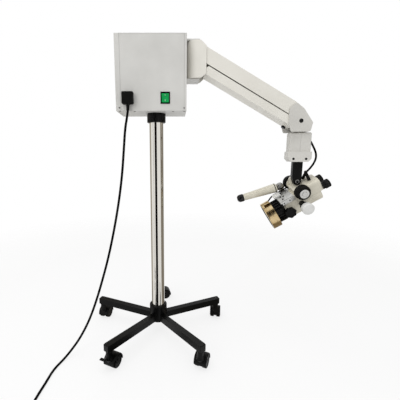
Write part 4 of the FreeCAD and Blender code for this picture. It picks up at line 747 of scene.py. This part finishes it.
# Socket screws of the clamp
clamp_screws = Form()
for x in (-24, 24):
    clamp_screws.turned("y",
                        [(-29.1, 0), (-29.1, 4.7), (-33.6, 4.7), (-34, 4.2), (-34, 2.4), (-31, 2.4),
                         (-31, 0)],
                        centre=(x, 0, 783), steps=32)
piece("clamp_screws", clamp_screws, DROP, "column", BLACK_METAL)

# Arm lock screw
lock_at = placed((412, 0, -13.2), parent=LOWER)
piece("lock_screw", Form().turned("z", [
    (-13.8, 0), (-13.8, 7.4), (-12.8, 8.5), (-6, 8.5), (-5, 7.6), (-4.8, 4), (5, 4), (5, 0)], steps=96,
    wave=knurl(24, 0.6, (2, 3))), lock_at, "lock_screw", BLACK_METAL, ["arm_lock_screw"])

# Elbow pins in black
elbow = Form()
for z, half in ((931.5, 40), (906.5, 37.5)):
    elbow.turned("y", [(-half, 0), (-half, 5), (half, 5), (half, 0)], centre=(571.5, 0, z), steps=40)
for side in (-1, 1):
    elbow.turned("y",
                 [(side * y, r) for y, r in ((40, 0), (40, 8), (41, 8), (41.5, 7.4), (41.5, 3.4), (40.6, 3),
                                                 (40.6, 0))], centre=(571.5, 0, 931.5), steps=48)
piece("elbow_pin_set", elbow, WORLD, "elbow", BLACK_METAL, ["elbow_pins"])


# Plug body at the inlet, with its tapered and ribbed relief
relief = [(962.5, 4.6), (962.5, 5.4)]
for rib in range(5):
    low = 964 + 4 * rib
    relief += [(low, 5.2 + 0.22 * rib), (low + 0.8, 5.6 + 0.22 * rib), (low + 2.4, 5.6 + 0.22 * rib)]
plug = Form().turned("z", relief + [(985, 6.5), (985, 0)], centre=(-100.5, -89, 0), steps=40)
plug.pillow((-122, -101, 984.5), (-79, -77, 1028.5), 4, 4)
piece("inlet_plug", plug, WORLD, "stand", RUBBER, ["cord_plug"])


# Cords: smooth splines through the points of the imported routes
CORD_SIZE = 4.5
CORD_EXIT = (-100.5, -89, 962.5)
MAINS_ROUTE = [
    (-103.5, -90, 940), (-111.5, -95, 897), (-117.5, -101, 820), (-125, -108, 728),
    (-138.5, -117, 627), (-158, -125.5, 520), (-182, -133, 412), (-209, -140, 315), (-238, -146.5, 222),
    (-268, -152, 144), (-300, -157, 83), (-326, -162, 44), (-360, -182, 4.5), (-380, -240, 4.5),
    (-381, -298, 4.5), (-384, -342, 4.5), (-384.5, -388, 4.5),
]
PLUG_ROUTE = [(-430, -500, 13.5), (-457, -501, 13.5), (-482, -495, 12.5), (-503, -482, 12)]
HEAD_ROUTE = [(40, 8, 868), (66, 5, 826), (76, 2, 788), (58, -2, 750), (41.1, -3.7, 732.1)]
RING_ROUTE = [
    (-21, 38.5, -1.5), (-45, 40.1, -2.5), (-75, 40.5, -2.5), (-102, 39.6, -3.5), (-122.8, 31.6, -12.6),
]
COIL = (-430, -448)
COIL_INNER = 39
COIL_START = 20
COIL_STEPS = 16


def coil_turns():
    """Wound length: a layer inwards on the floor, a climb, then a layer outwards on top of it."""
    pitch = 2 * CORD_SIZE
    keep_out = 1 / math.cos(math.pi / COIL_STEPS)
    last = int((3 + (COIL_START + 90) / 360) * COIL_STEPS)
    points = []
    for step in range(last + 1):
        turns = step / COIL_STEPS
        radius = (COIL_INNER + pitch * abs(turns - 2)) * keep_out
        climb = min(max((turns - 1.8) / 0.3, 0), 1)
        angle = math.radians(COIL_START - 360 * turns)
        points.append((COIL[0] + radius * math.cos(angle), COIL[1] + radius * math.sin(angle),
                       CORD_SIZE + pitch * climb))
    return points


def spline(name, points, radius, axes, material):
    """A round cord whose centreline is an open spline of the route's own points."""
    curve = bpy.data.curves.new(name, "CURVE")
    curve.dimensions = "3D"
    curve.resolution_u = 12
    curve.bevel_depth = radius * MM
    curve.bevel_resolution = 6
    curve.use_fill_caps = True
    line = curve.splines.new("NURBS")
    line.points.add(len(points) - 1)
    for place, point in zip(line.points, points):
        spot = (axes @ Vector(point)) * MM
        place.co = (spot.x, spot.y, spot.z, 1)
    line.order_u = 3
    line.use_endpoint_u = True
    item = bpy.data.objects.new(name, curve)
    bpy.context.scene.collection.objects.link(item)
    curve.materials.append(material)
    return item


def as_mesh(item):
    """The mesh that a curve draws."""
    return bpy.data.meshes.new_from_object(item.evaluated_get(bpy.context.evaluated_depsgraph_get()))


def bending_cord(name, points, radius, axes, node):
    """A short cord held at both ends, made into a fixed mesh along the route's points; it is attached to no
    body.
    """
    curve = spline(name + "_line", points, radius, axes, CORD_JACKET)
    mesh = as_mesh(curve)
    curve.data.bevel_depth = 0
    line = as_mesh(curve)
    path = [tuple(vert.co) for vert in line.vertices]
    bpy.data.meshes.remove(line)
    bpy.data.objects.remove(curve)
    item = bpy.data.objects.new(name, mesh)
    bpy.context.scene.collection.objects.link(item)
    smooth_faces(mesh)
    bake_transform(item)
    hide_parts(node)
    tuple(path[0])


flex = spline("mains_flex", [CORD_EXIT] + MAINS_ROUTE + coil_turns() + PLUG_ROUTE, CORD_SIZE, WORLD,
              CORD_JACKET)
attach(flex, "stand")
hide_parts("mains_cord", "cord_coil")
tie = piece("coil_tie", Form().loft([
    [(x, along, z) for x, z in rounded(rectangle(-15, 15, 0.2, 19.4), 5)] for along in (-4, 4)
]), placed((COIL[0], COIL[1] + 48, 0), yaw=90, parent=WORLD), "stand", BLACK_PLASTIC)
bending_cord("head_flex", HEAD_ROUTE, 4, DROP, "head_cable")
bending_cord("ring_flex", RING_ROUTE, 3, HEAD,
             "ring_cable")


# Floor, backdrop, lights and camera
def stage_mesh(name, corners, sides, material):
    """A surface of the studio, which isn't part of the object."""
    mesh = bpy.data.meshes.new(name)
    mesh.from_pydata(corners, [], sides)
    mesh.materials.append(material)
    item = bpy.data.objects.new(name, mesh)
    bpy.context.scene.collection.objects.link(item)
    return item


def seen_by(tree, rays):
    """A value of 1 for the kinds of ray named and 0 for the others."""
    path = tree.nodes.new("ShaderNodeLightPath")
    share = path.outputs[rays[0]]
    for ray in rays[1:]:
        either = tree.nodes.new("ShaderNodeMath")
        either.operation = "MAXIMUM"
        tree.links.new(share, either.inputs[0])
        tree.links.new(path.outputs[ray], either.inputs[1])
        share = either.outputs[0]
    return share


FLOOR_GREY = 0.93
FLOOR_ROUGH = 0.75
FLOOR_OWN_LIGHT = 0.78
FLOOR_FADE = (1.3, 2.6)
FLOOR_REACH = 4
floor_paint = bpy.data.materials.new("floor_paint")
floor_paint.use_nodes = True
tree = floor_paint.node_tree
tree.nodes["Principled BSDF"].inputs["Base Color"].default_value = (FLOOR_GREY, FLOOR_GREY, FLOOR_GREY, 1)
tree.nodes["Principled BSDF"].inputs["Roughness"].default_value = FLOOR_ROUGH
bright = tree.nodes.new("ShaderNodeEmission")
seen = tree.nodes.new("ShaderNodeMath")
seen.operation = "MULTIPLY"
seen.inputs[1].default_value = FLOOR_OWN_LIGHT
tree.links.new(seen_by(tree, ("Is Camera Ray", "Is Glossy Ray")), seen.inputs[0])
mixed = tree.nodes.new("ShaderNodeMixShader")
tree.links.new(seen.outputs[0], mixed.inputs[0])
tree.links.new(tree.nodes["Principled BSDF"].outputs[0], mixed.inputs[1])
tree.links.new(bright.outputs[0], mixed.inputs[2])
clear = tree.nodes.new("ShaderNodeBsdfTransparent")
place = tree.nodes.new("ShaderNodeTexCoord")
away = tree.nodes.new("ShaderNodeVectorMath")
away.operation = "LENGTH"
tree.links.new(place.outputs["Object"], away.inputs[0])
fade = tree.nodes.new("ShaderNodeMapRange")
fade.inputs["From Min"].default_value, fade.inputs["From Max"].default_value = FLOOR_FADE
tree.links.new(away.outputs["Value"], fade.inputs["Value"])
ended = tree.nodes.new("ShaderNodeMixShader")
tree.links.new(fade.outputs["Result"], ended.inputs[0])
tree.links.new(mixed.outputs[0], ended.inputs[1])
tree.links.new(clear.outputs[0], ended.inputs[2])
tree.links.new(ended.outputs[0], tree.nodes["Material Output"].inputs["Surface"])
stage_mesh("floor", [(x, y, 0) for x, y in rectangle(-FLOOR_REACH, FLOOR_REACH, -FLOOR_REACH, FLOOR_REACH)],
           [(0, 1, 2, 3)], floor_paint)


CARD_STEP = 12
CARD_PROFILE = ((0.12, 0.003), (2, 0.003), (2, 2.6))


def card(name, start, stop, grey):
    """A dull studio wall with its strip of floor, met only by reflections.

    It runs between two angles in degrees, counted from the front to the right.
    """
    steps = max(1, round((stop - start) / CARD_STEP))
    corners = []
    for step in range(steps + 1):
        angle = math.radians(start + (stop - start) * step / steps)
        for reach, height in CARD_PROFILE:
            corners.append((foot.x + reach * math.sin(angle), foot.y - reach * math.cos(angle), height))
    sides = [(3 * step + row, 3 * step + row + 1, 3 * step + row + 4, 3 * step + row + 3)
             for step in range(steps) for row in range(2)]
    paint = bpy.data.materials.new(name)
    paint.use_nodes = True
    shine = paint.node_tree.nodes.new("ShaderNodeEmission")
    shine.inputs["Color"].default_value = light_value(grey)
    paint.node_tree.links.new(shine.outputs[0], paint.node_tree.nodes["Material Output"].inputs["Surface"])
    item = stage_mesh(name, corners, sides, paint)
    item.visible_camera = item.visible_diffuse = item.visible_shadow = item.visible_transmission = False


foot = WORLD.translation * MM
card("card_front", -30, 6, (16, 15, 14))
card("card_right", 66, 140, (142, 135, 124))
card("card_left", -170, -100, (176, 170, 158))

SKY_LIGHT = 0.62
world = bpy.data.worlds.new("studio")
bpy.context.scene.world = world
world.use_nodes = True
tree = world.node_tree
soft = tree.nodes["Background"]
soft.inputs["Color"].default_value = (1, 1, 1, 1)
level = tree.nodes.new("ShaderNodeMapRange")
level.inputs["To Min"].default_value = SKY_LIGHT
level.inputs["To Max"].default_value = 1.0
tree.links.new(seen_by(tree, ("Is Camera Ray", "Is Glossy Ray", "Is Transmission Ray")),
               level.inputs["Value"])
tree.links.new(level.outputs["Result"], soft.inputs["Strength"])


def lamp(name, spot, target, size, power):
    """A soft square lamp that faces the target; both in metres from the pole's foot."""
    data = bpy.data.lights.new(name, "AREA")
    data.shape = "SQUARE"
    data.size = size
    data.energy = power
    item = bpy.data.objects.new(name, data)
    item.location = Vector(spot) + foot
    item.rotation_euler = (Vector(target) - Vector(spot)).to_track_quat("-Z", "Y").to_euler()
    item.visible_glossy = False
    bpy.context.scene.collection.objects.link(item)


lamp("over", (-0.3, -0.5, 3.4), (0.1, 0, 0.6), 2.4, 38)
lamp("front", (-1.6, -2.8, 1.9), (0.2, 0, 0.7), 1.8, 26)

CAMERA_SPOT = (0.0715, -1.123, 0.793)
CAMERA_DOWN = 9.3
view = bpy.data.cameras.new("camera")
view.lens = 23.985
view.sensor_width = 36
view.shift_x = 0.065
camera = bpy.data.objects.new("camera", view)
camera.location = foot + Vector(CAMERA_SPOT)
camera.rotation_euler = (math.radians(90 - CAMERA_DOWN), 0, 0)
bpy.context.scene.collection.objects.link(camera)
bpy.context.scene.camera = camera
bpy.context.scene.view_settings.view_transform = "Standard"
